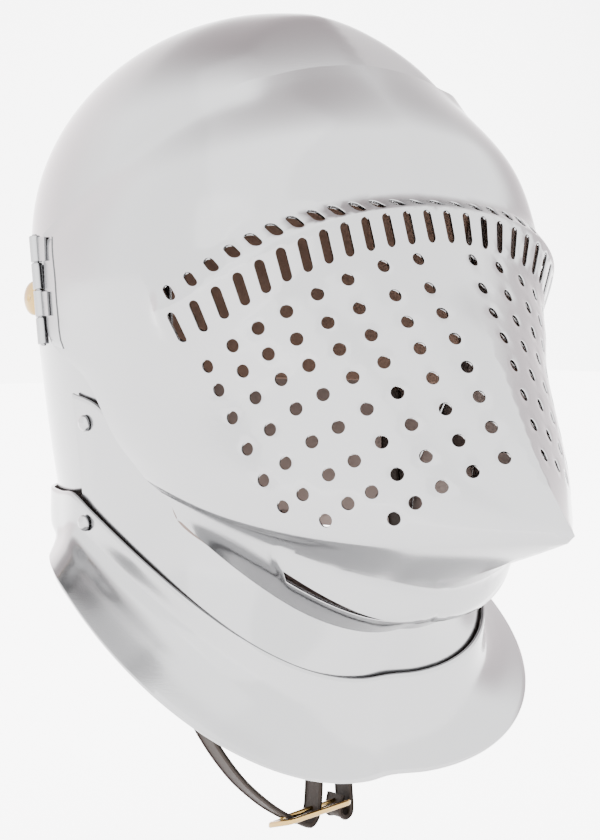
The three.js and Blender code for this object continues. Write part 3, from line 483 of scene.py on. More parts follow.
def bowl_outline(foot, face_gap, step):
    """The half bowl's flat outline: crown, brow, down the face opening, round the foot, up the nape."""
    brow_turn = half_turn_at(BROW_Y + face_gap, BROW_DROP)
    line = along_line([skull_flat(0, 0), skull_flat(BROW_DROP, 0)], step)
    line += [skull_flat(BROW_DROP, a) for a in np.linspace(0, brow_turn, 14)[:-1]]
    for drop in np.linspace(BROW_DROP, foot, 36)[:-1]:
        line.append(skull_flat(drop, half_turn_at(face_edge_y(drop) + face_gap, drop)))
    last = half_turn_at(face_edge_y(foot) + face_gap, foot)
    line += [skull_flat(foot, a) for a in np.linspace(last, math.pi, 110)[:-1]]
    line += along_line([skull_flat(foot, math.pi), skull_flat(0, 0)], step)
    return np.array(line)


def bore_loops(centre, radius, lip, sides, flat_of):
    """A round hole's two flat loops, from its middle and a function that lays small offsets flat."""
    angles = np.arange(sides) / sides * 2 * math.pi
    circle = np.stack([np.cos(angles), np.sin(angles)], axis=1)
    return flat_of(centre, circle * (radius + lip)), flat_of(centre, circle * radius)


def flat_steps(surface):
    """A function that turns offsets on a surface, across and down in millimetres, into flat places."""
    def flat_of(centre, offsets):
        reach = 0.05
        near = centre + np.array([(reach, 0), (-reach, 0), (0, reach), (0, -reach)])
        right, left, below, above = surface(near)
        across = (right - left) / (2 * reach)
        down = (below - above) / (2 * reach)
        axis_down = down / np.linalg.norm(down)
        axis_across = across - axis_down * np.dot(across, axis_down)
        axis_across /= np.linalg.norm(axis_across)
        wanted = offsets @ np.array([axis_across, axis_down])
        solved = np.linalg.lstsq(np.stack([across, down], axis=1), wanted.T, rcond=None)[0]
        return centre + solved.T
    return flat_of


def side_place(y, drop):
    """The flat place on the skull's side at a distance y and a drop."""
    return skull_flat(drop, half_turn_at(y, drop))


PIVOT_SHANK = 5.0
CHEEK_RIVET = (24.0, 201.0)
COLLAR_RIVET = (27.0, 249.0)
RIVET_SHANK = 3.4
skull_outside = skull_places(0.0)
lay_on_skull = flat_steps(skull_outside)
skull_bores = [
    bore_loops(side_place(PIVOT_Y, PIVOT_DROP), PIVOT_SHANK / 2 + GAP, 0.3, 20, lay_on_skull),
    bore_loops(side_place(*CHEEK_RIVET), RIVET_SHANK / 2 + GAP, 0.3, 16, lay_on_skull),
    bore_loops(side_place(*COLLAR_RIVET), RIVET_SHANK / 2 + GAP, 0.3, 16, lay_on_skull),
]
places, faces, inside = half_plate(bowl_outline(SKULL_EDGE, 0.0, SKULL_STEP), SKULL_STEP, skull_outside,
                                   skull_places(PLATE), holes=skull_bores)
skull = add_mesh("skull_plate", places, face_out(places, faces), plate_steel, 35, inside, browned_inside_and_painted_shade)
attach(skull, "helmet")
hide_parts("skull")

# Visor: one steel plate beaten out to a keeled, beaked face. A sight band stands out of it with a row of
# slots above its crest and one below; round breaths and two mouth slits are cut below that.
VISOR_HALF = 110.0
VISOR_REACH = 208.0
VISOR_DROP = 297.0
VISOR_PLATE = 1.8
PLATE_FIT = 1.0
BROW_FIT = 1.7
# Each section runs from the middle plane to the hinge edge: forward and drop at the middle, then width,
# forward and drop of two pulls and of the rear end, in shares of the three sizes above.
sections = np.array([
    [0.322, 0.104, 0.424, 0.309, 0.104, 0.985, 0.330, 0.158, 0.991, -0.231, 0.370],  # brow edge
    [0.442, 0.209, 0.618, 0.481, 0.205, 1.190, 0.433, 0.303, 0.991, -0.226, 0.404],  # forehead
    [0.495, 0.306, 0.690, 0.519, 0.296, 1.218, 0.538, 0.471, 0.991, -0.221, 0.438],  # above the sight
    [0.577, 0.380, 0.655, 0.567, 0.377, 1.145, 0.567, 0.640, 0.991, -0.216, 0.488],  # below the sight
    [0.639, 0.455, 0.673, 0.625, 0.461, 1.055, 0.538, 0.660, 0.991, -0.192, 0.549],  # first breaths
    [0.731, 0.539, 0.582, 0.683, 0.552, 1.000, 0.500, 0.700, 0.973, -0.067, 0.603],  # cheek
    [0.880, 0.710, 0.455, 0.779, 0.724, 0.964, 0.587, 0.815, 0.927, 0.024, 0.700],  # last breaths
    [0.976, 0.798, 0.355, 0.808, 0.791, 0.900, 0.596, 0.848, 0.900, 0.106, 0.751],  # above the beak
    [1.000, 0.822, 0.336, 0.798, 0.812, 0.891, 0.596, 0.857, 0.891, 0.120, 0.761],  # beak
    [0.952, 0.838, 0.364, 0.779, 0.838, 0.873, 0.567, 0.859, 0.882, 0.135, 0.768],  # under the beak
    [0.606, 0.923, 0.564, 0.606, 0.916, 0.818, 0.442, 0.822, 0.864, 0.173, 0.785],  # lip crease
    [0.577, 0.963, 0.491, 0.572, 0.980, 0.745, 0.404, 0.869, 0.855, 0.192, 0.801],  # mouth slit
    [0.447, 1.000, 0.364, 0.457, 1.017, 0.636, 0.337, 0.926, 0.846, 0.207, 0.818],  # lower edge
])
pulls = np.zeros((len(sections), 4, 3))
pulls[:, 1:, 0] = sections[:, (2, 5, 8)] * VISOR_HALF
pulls[:, :, 1] = -sections[:, (0, 3, 6, 9)] * VISOR_REACH
pulls[:, :, 2] = CROWN_Z - sections[:, (1, 4, 7, 10)] * VISOR_DROP
knots = chord_runs(pulls)
SPAN = 170.0


def bezier(pulls_at, t):
    """Places on a curve of four pulls."""
    t = np.asarray(t, float)[:, None]
    a, b, c, d = (np.array(p, float) for p in pulls_at)
    return a * (1 - t) ** 3 + 3 * b * t * (1 - t) ** 2 + 3 * c * t ** 2 * (1 - t) + d * t ** 3


def through(rows, at, wanted):
    """A smooth curve through rows at rising places, read at the wanted places."""
    rows, at, wanted = np.asarray(rows, float), np.asarray(at, float), np.asarray(wanted, float)
    first = np.maximum(np.arange(len(at)) - 1, 0)
    last = np.minimum(np.arange(len(at)) + 1, len(at) - 1)
    shape = (-1,) + (1,) * (rows.ndim - 1)
    slope = (rows[last] - rows[first]) / (at[last] - at[first]).reshape(shape)
    j = np.clip(np.searchsorted(at, wanted, side="right") - 1, 0, len(at) - 2)
    run = (at[j + 1] - at[j]).reshape(shape)
    s = ((wanted - at[j]) / (at[j + 1] - at[j])).reshape(shape)
    return (rows[j] * (2 * s ** 3 - 3 * s ** 2 + 1) + slope[j] * run * (s ** 3 - 2 * s ** 2 + s)
            + rows[j + 1] * (3 * s ** 2 - 2 * s ** 3) + slope[j + 1] * run * (s ** 3 - s ** 2))


def face_point(flat):
    """Places on the plain visor face. flat is share of SPAN round from the middle, and run down it."""
    pulls_at = through(pulls, knots, np.clip(flat[:, 1], 0, knots[-1]))
    return bezier(pulls_at.transpose(1, 0, 2), np.clip(flat[:, 0] / SPAN, 0, 1))


def surface_normal(surface, flat, step=0.4):
    """Outward normals, level across the middle plane."""
    right, left = flat + (step, 0), flat - (step, 0)
    left[:, 0] = np.maximum(left[:, 0], 0)
    right[:, 0] = np.minimum(right[:, 0], SPAN)
    below, above = flat + (0, step), flat - (0, step)
    below[:, 1] = np.minimum(below[:, 1], knots[-1])
    above[:, 1] = np.maximum(above[:, 1], 0)
    normal = np.cross(surface(below) - surface(above), surface(right) - surface(left))
    normal[flat[:, 0] < 0.05, 0] = 0
    return unit(normal)


def section_run(v):
    """The run down the visor at section v, which may lie between two sections."""
    return np.interp(v, np.arange(len(knots)), knots)


def lay_along(v, lengths):
    """Flat places on section v at given lengths from the middle plane."""
    shares = np.linspace(0, 1, 241)
    flat = np.stack([shares * SPAN, np.full(len(shares), section_run(v))], axis=1)
    across = np.interp(lengths, chord_runs(face_point(flat)), shares) * SPAN
    return np.stack([across, np.full(len(lengths), section_run(v))], axis=1)


SLOTS_PER_SIDE = 13
SLOT_SHARE = 0.0549
BAND_TOP, BAND_CREST, BAND_FOOT = 2.0, 2.36, 3.0
BAND_STAND, CREST_ROUND, FOOT_SOFT = 6.5, 0.05, 0.03
BAND_END, BAND_GONE = 0.715, 0.75
# The band bows: it lies lower at the middle and at its rear ends than between them
BOW_SHARES = (0, 0.1, 0.2, 0.3, 0.4, 0.5, 0.58, 0.64, 0.69, 1)
BOW_DOWN = (0.19, 0.17, 0.08, 0.0, -0.05, -0.02, 0.06, 0.15, 0.24, 0.24)
BOW_SPREAD = 11
bow_at = np.linspace(-0.1, 1.1, 241)
bow_smooth = np.convolve(np.interp(bow_at, BOW_SHARES, BOW_DOWN), np.ones(BOW_SPREAD) / BOW_SPREAD, "same")


def bow(share):
    """How many sections lower the sight band lies at a share of the way to the rear edge."""
    return np.interp(share, bow_at, bow_smooth)


def soft_floor(x, soft):
    """Values kept above nought, with a soft bend there."""
    return soft * np.log1p(np.exp(np.clip(x / soft, -40, 40)))


def band_lift(flat):
    """How far the sight band stands out of the face: ledge, rounded crest and falling lower face."""
    share = flat[:, 0] / SPAN
    v = np.interp(flat[:, 1], knots, np.arange(len(knots))) - bow(share)
    up = (v - BAND_TOP) / (BAND_CREST - BAND_TOP)
    down = (BAND_FOOT - v) / (BAND_FOOT - BAND_CREST)
    up, down = np.clip(-up / CREST_ROUND, -60, 60), np.clip(-down / CREST_ROUND, -60, 60)
    rise = soft_floor(-CREST_ROUND * np.log(np.exp(up) + np.exp(down)), FOOT_SOFT)
    fade = np.clip((BAND_GONE - share) / (BAND_GONE - BAND_END), 0, 1)
    return BAND_STAND * rise * fade * fade * (3 - 2 * fade)


# The lip over the mouth is turned out along a line across the chin, and dies away beyond the slits
MOUTH_FRONT, MOUTH_REAR = 0.07, 0.55
MOUTH_RUN, MOUTH_CLIMB = 294.0, 21.0
LIP_STAND, LIP_TALL, LIP_FADE = 2.0, 10.5, 0.05
LIP_HOLLOW, LIP_EASE = 1.15, 1.2


def mouth_run(x):
    """The run down the visor of the mouth's line, at a distance across."""
    return MOUTH_RUN - MOUTH_CLIMB * x / SPAN


def lip_lift(flat):
    """How far the mouth's upper lip stands out: most at its edge, gone a little way above and below."""
    above = mouth_run(flat[:, 0]) - flat[:, 1]
    rise = np.clip(1 - above / LIP_TALL, 0, 1) ** LIP_HOLLOW * np.clip(1 + above / LIP_EASE, 0, 1)
    fade = np.clip((MOUTH_REAR + LIP_FADE - flat[:, 0] / SPAN) / LIP_FADE, 0, 1)
    return LIP_STAND * rise * fade * fade * (3 - 2 * fade)


def visor_face(flat):
    """Places on the visor's face with its band and lip."""
    lift = band_lift(flat) + lip_lift(flat)
    return face_point(flat) + surface_normal(face_point, flat) * lift[:, None]


def visor_places(depth):
    """A function that gives a flat place's place in space, a depth under the visor's face."""
    def at(flat):
        p = visor_face(flat)
        if depth:
            p = p - surface_normal(visor_face, flat) * depth
        brow = np.clip((section_run(2) - flat[:, 1]) / section_run(1), 0, 1)
        room = PLATE_FIT + (BROW_FIT - PLATE_FIT) * brow + VISOR_PLATE - depth
        p = clear_of_skull(p, room)
        p[flat[:, 0] < 1e-6, 0] = 0
        return p
    return at


visor_outside = visor_places(0.0)
visor_inside = visor_places(VISOR_PLATE)
lay_on_visor = flat_steps(visor_face)


def slot_loops(centre, wide, tall, lip, lean=0.0):
    """A slot's two flat loops: straight sides with round ends, the lower end moved over by the lean."""
    loops = []
    for grow in (lip, 0.0):
        radius = wide / 2 + grow
        straight = tall / 2 - wide / 2
        angles = np.linspace(0, math.pi, 9)
        top = np.stack([radius * np.cos(angles), -straight - radius * np.sin(angles)], axis=1)
        foot = np.stack([-radius * np.cos(angles), straight + radius * np.sin(angles)], axis=1)
        ring = np.concatenate([top, foot])
        ring[:, 0] += lean * ring[:, 1] / tall
        loops.append(lay_on_visor(centre, ring))
    return loops


SLOT_WIDE, SLOT_TALL, UPPER_WIDE, UPPER_TALL = 4.6, 15.5, 5.2, 8.6
UPPER_LEAN = 9.0
slot_shares = (np.arange(SLOTS_PER_SIDE) + 0.5) * SLOT_SHARE


def band_places(v):
    """Where the slots' middles lie on a row of the sight band."""
    return np.stack([slot_shares * SPAN, section_run(v + bow(slot_shares))], axis=1)


lower_places = band_places((BAND_CREST + BAND_FOOT) / 2)
upper_places = band_places((BAND_TOP + BAND_CREST) / 2)
visor_holes = [slot_loops(c, SLOT_WIDE, SLOT_TALL, 0.35) for c in lower_places]
for centre, share in zip(upper_places, slot_shares):
    visor_holes.append(slot_loops(centre, UPPER_WIDE, UPPER_TALL, 0.3, -UPPER_LEAN * share))

BREATH_BORE = 6.0
# Columns of breaths, from the keel outward: how many, the first one's run down the visor, the run from one
# to the next, its distance from the middle plane, and how much nearer each next one lies
BREATH_COLUMNS = [
    (8, 109.0, 12.2, 16.8, 0.5),
    (8, 108.0, 12.8, 36.2, 1.0),
    (8, 107.3, 13.5, 55.4, 1.5),
    (8, 107.0, 14.4, 71.3, 1.7),
    (8, 107.7, 15.4, 87.0, 2.0),
    (7, 109.5, 16.0, 101.3, 2.2),
    (7, 114.0, 17.1, 114.8, 1.7),
    (6, 123.3, 17.1, 130.0, 1.9),
]
for count, first, pitch, out, nearer in BREATH_COLUMNS:
    for row in range(count):
        v = float(np.interp(first + pitch * row, knots, np.arange(len(knots))))
        centre = lay_along(v, [out - nearer * row])[0]
        visor_holes.append(bore_loops(centre, BREATH_BORE / 2, 0.35, 18, lay_on_visor))

# Mouth: a long slit, square at its rear end and tapering to the front
MOUTH_SLIT, SLIT_FRONT, SLIT_SWELL = 7.5, 0.15, 0.7
mouth_shares = np.linspace(MOUTH_FRONT, MOUTH_REAR, 22)
mouth_line = np.stack([mouth_shares * SPAN, mouth_run(mouth_shares * SPAN)], axis=1)
mouth_loops = []
for grow in (0.3, 0.0):
    taper = MOUTH_SLIT * np.linspace(SLIT_FRONT, 1, len(mouth_line)) ** SLIT_SWELL + grow
    above = list(mouth_line - np.array((0.0, grow)))
    below = list(mouth_line + np.stack([np.zeros(len(mouth_line)), taper], axis=1))
    mouth_loops.append(np.array(above + below[::-1]))
visor_holes.append(mouth_loops)
lip_line = [np.array((x, mouth_run(x))) for x in np.linspace(0.01, MOUTH_FRONT - 0.015, 5) * SPAN]
lip_across = np.linspace(0.01, MOUTH_REAR + LIP_FADE, 50) * SPAN
lip_crease, lip_middle = (
    [np.array((x, mouth_run(x) - rise)) for x in lip_across] for rise in (LIP_TALL, LIP_TALL / 2))

VISOR_STEP = 4.0
down_runs = np.linspace(0, knots[-1], 62)
visor_outline = along_line([(0, 0), (SPAN, 0)], VISOR_STEP)
visor_outline += [np.array((SPAN, r)) for r in down_runs[:-1]]
visor_outline += along_line([(SPAN, knots[-1]), (0, knots[-1])], VISOR_STEP)
visor_outline += [np.array((0.0, r)) for r in down_runs[::-1][:-1]]
band_lines = [[np.array((share * SPAN, section_run(v + bow(share)))) for share in np.linspace(0.02, 0.9, 50)]
              for v in (BAND_CREST, BAND_TOP, BAND_FOOT)]
places, faces, inside = half_plate(np.array(visor_outline), VISOR_STEP, visor_outside, visor_inside,
                                   visor_holes, band_lines + [lip_line, lip_crease, lip_middle])
visor = add_mesh("visor_plate", places, face_out(places, faces), plate_steel, 50, inside, browned_inside_and_painted_shade)
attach(visor, "visor")
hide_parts("visor")


def evenly(pulls_at, shares):
    """Places on a curve of four pulls, at shares of its length."""
    dense = bezier(pulls_at, np.linspace(0, 1, 401))
    run = chord_runs(dense)
    return np.stack([np.interp(np.asarray(shares) * run[-1], run, dense[:, k]) for k in range(3)], axis=1)


def respaced(grid, count):
    """A line, or a grid's rows, read again at even steps."""
    runs = chord_runs(grid)
    return through(grid, runs, np.linspace(0, runs[-1], count))


def grid_normals(grid, inside, ring):
    """Normals of a grid that point away from a place inside it."""
    across = np.roll(grid, -1, axis=1) - np.roll(grid, 1, axis=1) if ring else np.gradient(grid, axis=1)
    normal = unit(np.cross(across, np.gradient(grid, axis=0)))
    return normal * np.where(np.sum(normal * (grid - inside), axis=2) < 0, -1, 1)[..., None]


WRAP_STEPS = ((0.1, 0.55), (0.32, 0.95), (0.68, 0.95), (0.9, 0.55))


def wrapped_plate(outer, inner, ring, edge_round=0.3):
    """A closed plate from two grids: down the outer one, round the foot, up the inner, over the top."""
    layers = list(outer)
    for edge, beyond in ((-1, -2), (0, 1)):
        out = unit(outer[edge] - outer[beyond])
        wall = np.linalg.norm(outer[edge] - inner[edge], axis=1, keepdims=True)
        turned = []
        for depth, stand in WRAP_STEPS:
            turned.append(outer[edge] * (1 - depth) + inner[edge] * depth + out * wall * edge_round * stand)
        layers += turned + list(inner[::-1]) if edge else turned[::-1]
    grid = np.array(layers)
    rows, columns = grid.shape[:2]
    faces = []
    for j in range(rows):
        below = (j + 1) % rows
        for i in range(columns if ring else columns - 1):
            k = (i + 1) % columns
            faces.append((j * columns + i, below * columns + i, below * columns + k, j * columns + k))
    if not ring:
        count = len(outer)
        turn = len(WRAP_STEPS)
        for i, flip in ((0, 1), (columns - 1, -1)):
            for j in range(count - 1):
                back = count + turn + (count - 1 - j)
                faces.append(tuple(n * columns + i for n in (j, back, back - 1, j + 1))[::flip])
            foot = list(range(count - 1, count + turn + 1))
            top = list(range(2 * count + turn - 1, rows)) + [0]
            faces += [tuple(n * columns + i for n in edge)[::flip] for edge in (foot, top)]
    first = (len(outer) + 4) * (columns if ring else columns - 1)
    last = first + (len(inner) - 1) * (columns if ring else columns - 1)
    return grid.reshape(-1, 3), faces, [first <= k < last for k in range(len(faces))]


# Collar: a gorget plate, one closed ring that lies round the neck and flares out over the shoulders.
# It is raised from sheet, and a domed rivet holds it at each side.
COLLAR_PLATE = 1.8
COLLAR_MIDDLE = np.array([0, 15, CROWN_Z - 300])
BEVOR_PLATE = 1.8
COLLAR_DROP = 367.0
COLLAR_HALF = 120.0
COLLAR_HOLLOW = 2.0
COLLAR_LAP_DOWN = 17.0
COLLAR_ROOM = 2 * PLATE_FIT + BEVOR_PLATE + COLLAR_PLATE
COLLAR_BACK_ROOM = 2 * PLATE_FIT + COLLAR_PLATE
COLLAR_FRONT_CELLS = 12
seat_front = [(0, -86, CROWN_Z - 320), (60, -97, CROWN_Z - 323), (106, -78, CROWN_Z - 288),
              (98, 40, CROWN_Z - 237)]
rim_front = [(0, -88, CROWN_Z - COLLAR_DROP), (0.6 * COLLAR_HALF, -108, CROWN_Z - COLLAR_DROP - 4),
             (1.15 * COLLAR_HALF, -82, CROWN_Z - 330), (COLLAR_HALF, 22, CROWN_Z - 272)]
rim_back = [rim_front[3], (0.92 * COLLAR_HALF, 50, CROWN_Z - 264), (0.47 * COLLAR_HALF, 126, CROWN_Z - 266),
            (0, 128, CROWN_Z - 266)]
SEAT_DROP_BACK = 237.0
back_turns = math.pi * np.array([0.62, 0.7, 0.78, 0.86, 0.94, 1])
front_shares = np.linspace(0, 1, COLLAR_FRONT_CELLS + 1)
front_seats = clear_of_skull(evenly(seat_front, front_shares), COLLAR_ROOM)
back_seats = (skull_point(SEAT_DROP_BACK, back_turns)
              + skull_normal(np.full(6, SEAT_DROP_BACK), back_turns) * COLLAR_BACK_ROOM)
collar_seats = np.concatenate([front_seats, back_seats])
collar_rims = np.concatenate([evenly(rim_front, front_shares), evenly(rim_back, np.arange(1, 7) / 6)])
lowered = collar_seats + (0, 0, -COLLAR_LAP_DOWN)
collar_bends = np.concatenate([clear_of_skull(lowered[:13], COLLAR_ROOM),
                               clear_of_skull(lowered[13:], COLLAR_BACK_ROOM)])
shrink = 1 - COLLAR_HOLLOW / COLLAR_HALF
collar_middles = (collar_bends + collar_rims) / 2 * (shrink, shrink, 1)
collar_half = np.stack([collar_seats, collar_bends, collar_middles, collar_rims])
collar_half[:, (0, -1), 0] = 0
collar_ring = np.concatenate([collar_half, collar_half[:, -2:0:-1] * (-1, 1, 1)], axis=1)
collar_wrapped = np.concatenate([collar_ring[:, -3:], collar_ring, collar_ring[:, :4]], axis=1)
collar_wrapped = collar_wrapped.transpose(1, 0, 2)
ring_runs = chord_runs(collar_wrapped)
COLLAR_COLUMNS, COLLAR_ROWS = 240, 22
columns_at = np.linspace(ring_runs[3], ring_runs[3 + collar_ring.shape[1]], COLLAR_COLUMNS, endpoint=False)
collar_smooth = through(collar_wrapped, ring_runs, columns_at).transpose(1, 0, 2)
collar_outer = respaced(collar_smooth, COLLAR_ROWS)
collar_inner = collar_outer - grid_normals(collar_outer, COLLAR_MIDDLE, True) * COLLAR_PLATE
places, faces, inside = wrapped_plate(collar_outer, collar_inner, True)
collar = add_mesh("collar_plate", places, face_out(places, faces), plate_steel, 35, inside, browned_inside_and_painted_shade)
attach(collar, "helmet")
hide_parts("collar")

# Bevor: the chin plate, bent round the jaw behind the visor's lower edge and down inside the collar. A
# rounded tab at each cheek is riveted to the skull.
COLLAR_LAP = 9.0
BEVOR_LAP = 20.0
bevor_places = [(12, 0), (12, 0.12), (12, 0.24), (12, 0.36), (12, 0.48), (12, 0.6), (12, 0.72), (12, 0.86),
                (11.9, 0.99), (9.6, 1), (7, 1)]
BEHIND_REAR = 8
tab_edge = [(12, 193), (34, 187)]
coarse_inner = collar_ring - grid_normals(collar_ring, COLLAR_MIDDLE, True) * COLLAR_PLATE


def under_visor(v, share, depth):
    """A place behind the visor's face, at a section and a share of the way round."""
    return visor_places(depth)(np.array([[share * SPAN, section_run(v)]]))[0]


bevor_columns = []
for i in range(COLLAR_FRONT_CELLS + 1):
    seat, foot = coarse_inner[0, i], coarse_inner[1, i]
    if i == COLLAR_FRONT_CELLS:
        seat = seat * 0.65 + coarse_inner[0, i - 1] * 0.35
        foot = foot * 0.65 + coarse_inner[1, i - 1] * 0.35
    foot = seat + (foot - seat) * COLLAR_LAP / COLLAR_LAP_DOWN
    inward = [unit(np.array([-p[0], AXIS_Y - p[1], 0])) * PLATE_FIT for p in (seat, foot)]
    seat, foot = seat + inward[0], foot + inward[1]
    if i < len(bevor_places):
        v, share = bevor_places[i]
        rear = i >= BEHIND_REAR
        edge = under_visor(v, share, VISOR_PLATE + (3 if rear else 1) * PLATE_FIT)
        top = under_visor(v, 0.95, VISOR_PLATE + 2.4 * PLATE_FIT) if rear else edge + (0, 0, BEVOR_LAP)
    else:
        y, drop = tab_edge[i - len(bevor_places)]
        top = np.array([0.9 * HALF_WIDTH, y, CROWN_Z - drop])
        edge = top + (seat - top) * 0.3
    column = clear_of_skull(np.array([top, edge, seat, foot]), PLATE_FIT + BEVOR_PLATE)
    if i == 0:
        column[:, 0] = 0
    bevor_columns.append(column)
bevor_columns = np.array(bevor_columns)
bevor_whole = np.concatenate([bevor_columns[:0:-1] * (-1, 1, 1), bevor_columns])
# The third and fourth numbers bound the painted shade behind the mouth: how many rows down from the bevor's
# top, and the distance y forward of which it lies
BEVOR_COLUMNS, BEVOR_ROWS, PAINTED_SHADE_ROWS, MOUTH_SHADE_BACK_Y = 200, 28, 9, -30
BEVOR_MIDDLE = np.array([0, 0, CROWN_Z - 260])
bevor_outer = respaced(respaced(bevor_whole, BEVOR_COLUMNS).transpose(1, 0, 2), BEVOR_ROWS)
bevor_inner = bevor_outer - grid_normals(bevor_outer, BEVOR_MIDDLE, False) * BEVOR_PLATE
places, faces, inside = wrapped_plate(bevor_outer, bevor_inner, False)
# Painted shade: the bevor's outer face and upper edge behind the visor's mouth take the dark inside material,
# standing in for the shadow inside the mouth slit
painted_shade_behind_mouth = np.flatnonzero(bevor_outer[0, :-1, 1] < MOUTH_SHADE_BACK_Y)
upper_edge = 2 * BEVOR_ROWS + len(WRAP_STEPS)
for row in [*range(PAINTED_SHADE_ROWS), *range(upper_edge, upper_edge + len(WRAP_STEPS))]:
    for column in painted_shade_behind_mouth:
        inside[row * (BEVOR_COLUMNS - 1) + column] = True
bevor = add_mesh("bevor_plate", places, face_out(places, faces), plate_steel, 35, inside, browned_inside_and_painted_shade)
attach(bevor, "helmet")
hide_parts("bevor")


def axis_frame(direction):
    """Two directions square to a third."""
    along = unit(np.array(direction, float))
    side = unit(np.cross(along, (0, 0, 1) if abs(along[2]) < 0.9 else (0, 1, 0)))
    return along, side, np.cross(along, side)


def turned_form(profile, sides, base, direction):
    """A turned solid from radius and height pairs along a direction; both ends lie on the axis."""
    along, side, other = axis_frame(direction)
    angles = np.arange(sides) / sides * 2 * math.pi
    spokes = np.cos(angles)[:, None] * side + np.sin(angles)[:, None] * other
    base = np.array(base, float)
    places = [base + along * profile[0][1]]
    for r, h in profile[1:-1]:
        places += list(base + along * h + spokes * r)
    places.append(base + along * profile[-1][1])
    rings = len(profile) - 2
    faces = [(0, 1 + (i + 1) % sides, 1 + i) for i in range(sides)]
    for j in range(rings - 1):
        a, b = 1 + j * sides, 1 + (j + 1) * sides
        faces += [(a + i, a + (i + 1) % sides, b + (i + 1) % sides, b + i) for i in range(sides)]
    end = 1 + rings * sides
    last = 1 + (rings - 1) * sides
    faces += [(last + i, last + (i + 1) % sides, end) for i in range(sides)]
    return np.array(places), face_out(np.array(places), faces)


INNER_HEAD, INNER_THICK, HEAD_RIM, DOME_STEPS = 1.7, 1.4, 0.25, 11


def rivet_profile(head, dome, shank, grip, dimple=0.0):
    """Inner head, shank and a domed outer head, with a small punched dimple if there is one."""
    inner, end = INNER_HEAD * shank / 2, -grip - INNER_THICK
    line = [(0, end), (inner - 0.3, end), (inner, end + 0.3), (inner, -grip), (shank / 2, -grip),
            (shank / 2, 0), (head / 2 - 0.15, 0), (head / 2, HEAD_RIM)]
    for k in range(1, DOME_STEPS):
        a = k / DOME_STEPS * math.pi / 2
        r = head / 2 * math.cos(a)
        if r > 1.6 * dimple:
            line.append((r, HEAD_RIM + (dome - HEAD_RIM) * math.sin(a)))
    if dimple:
        line += [(1.3 * dimple, dome + 0.02), (dimple, dome - 0.1), (0.5 * dimple, dome - 0.55)]
    return line + [(0, dome - 0.65 if dimple else dome)]


def skull_side(y, drop):
    """The place on the skull's left side at a height and distance y, and the outward normal there."""
    turn = half_turn_at(y, drop)
    return skull_point(drop, turn), skull_normal(np.array([drop]), np.array([turn]))[0]


SIDES = (("right", -1), ("left", 1))

# Rivets of the chin plate and the collar: small steel rivets with domed heads, hammered over inside.
RIVET_HEAD, RIVET_DOME = 8.2, 3.2
STRAP_WALL = 2.6
for name, (y, drop), stand, grip in (
        ("cheek_rivet", CHEEK_RIVET, PLATE_FIT + BEVOR_PLATE + GAP, PLATE + STRAP_WALL + 4 * GAP),
        ("collar_rivet", COLLAR_RIVET, COLLAR_ROOM + 7 * GAP, PLATE + GAP)):
    seat, out = skull_side(y, drop)
    for hand, side in SIDES:
        flip = np.array((side, 1, 1))
        profile = rivet_profile(RIVET_HEAD, RIVET_DOME, RIVET_SHANK, stand + grip)
        places, faces = turned_form(profile, 32, (seat + out * stand) * flip, out * flip)
        made = add_mesh(f"{name}_{hand}_form", places, faces, plate_steel, smooth_below=40)
        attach(made, "helmet")
        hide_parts(f"{name}_{hand}")

# Hinges: a leaf on the visor and an arm from the pivot meet in four knuckles round a steel pin at each side.
# Real ones are bent from strip, filed and riveted on.
HINGE_Y, HINGE_DROP, HINGE_LEAN = 51.0, 137.0, 0.15
HINGE_LONG, HINGE_BARREL, HINGE_PIN, KNUCKLES = 53.0, 5.6, 2.6, 4
HINGE_X = HALF_WIDTH + 5.6
ARM_PLATE, ARM_WIDTH, LEAF_PLATE, WEB_PLATE = 2.0, 16.0, 0.4, 1.0
EDGE_EASE, ARM_CUT = 0.35, 3
ARM_START = HINGE_Y + HINGE_BARREL / 2 + 1
ARM_X = skull_side(ARM_START - ARM_WIDTH / 2, HINGE_DROP)[0][0] + PLATE_FIT
LEAF_DROP, LEAF_TALL, LEAF_FROM, LEAF_STAND = 112.0, 51.0, 0.975, 0.05
hinge_steel = steel_material("hinge_polish", (0.225, 0.225, 0.23, 1), 0.2, 300, 0.03)
hinge_low = np.array([HINGE_X, HINGE_Y, CROWN_Z - HINGE_DROP])
hinge_run = np.array([0, -HINGE_LEAN, -1.0])
hinge_axis = unit(hinge_run)


def merged(parts):
    """Several closed forms as one list of places and faces."""
    places, faces, start = [], [], 0
    for p, f in parts:
        places.append(p)
        faces += [tuple(n + start for n in face) for face in f]
        start += len(p)
    return np.concatenate(places), faces


def between_rings(rings, count, closed=False):
    """The four-sided faces that join each ring of places to the next."""
    faces = []
    for j in range(rings if closed else rings - 1):
        low, high = j * count, (j + 1) % rings * count
        for i in range(count):
            k = (i + 1) % count
            faces.append((low + i, high + i, high + k, low + k))
    return faces


def flat_plate(outline, near, far, bevel, side):
    """An upright plate across x with its outer edges eased; outline is y and height, anticlockwise."""
    outline = np.array(outline, float)
    ahead = unit(np.roll(outline, -1, axis=0) - outline)
    behind = np.roll(ahead, 1, axis=0)
    inward = unit(np.stack([-(ahead + behind)[:, 1], (ahead + behind)[:, 0]], axis=1))
    layers = [(near, bevel), (near + bevel, 0), (far - bevel, 0), (far - 0.3 * bevel, 0.3 * bevel),
              (far, bevel)]
    places = []
    for x, step in layers:
        ring = outline + inward * step
        places.append(np.column_stack([np.full(len(ring), side * x), ring]))
    count = len(outline)
    faces = [tuple(range(count)), tuple(range(4 * count, 5 * count))[::-1]] + between_rings(5, count)
    places = np.concatenate(places)
    return places, face_out(places, faces)


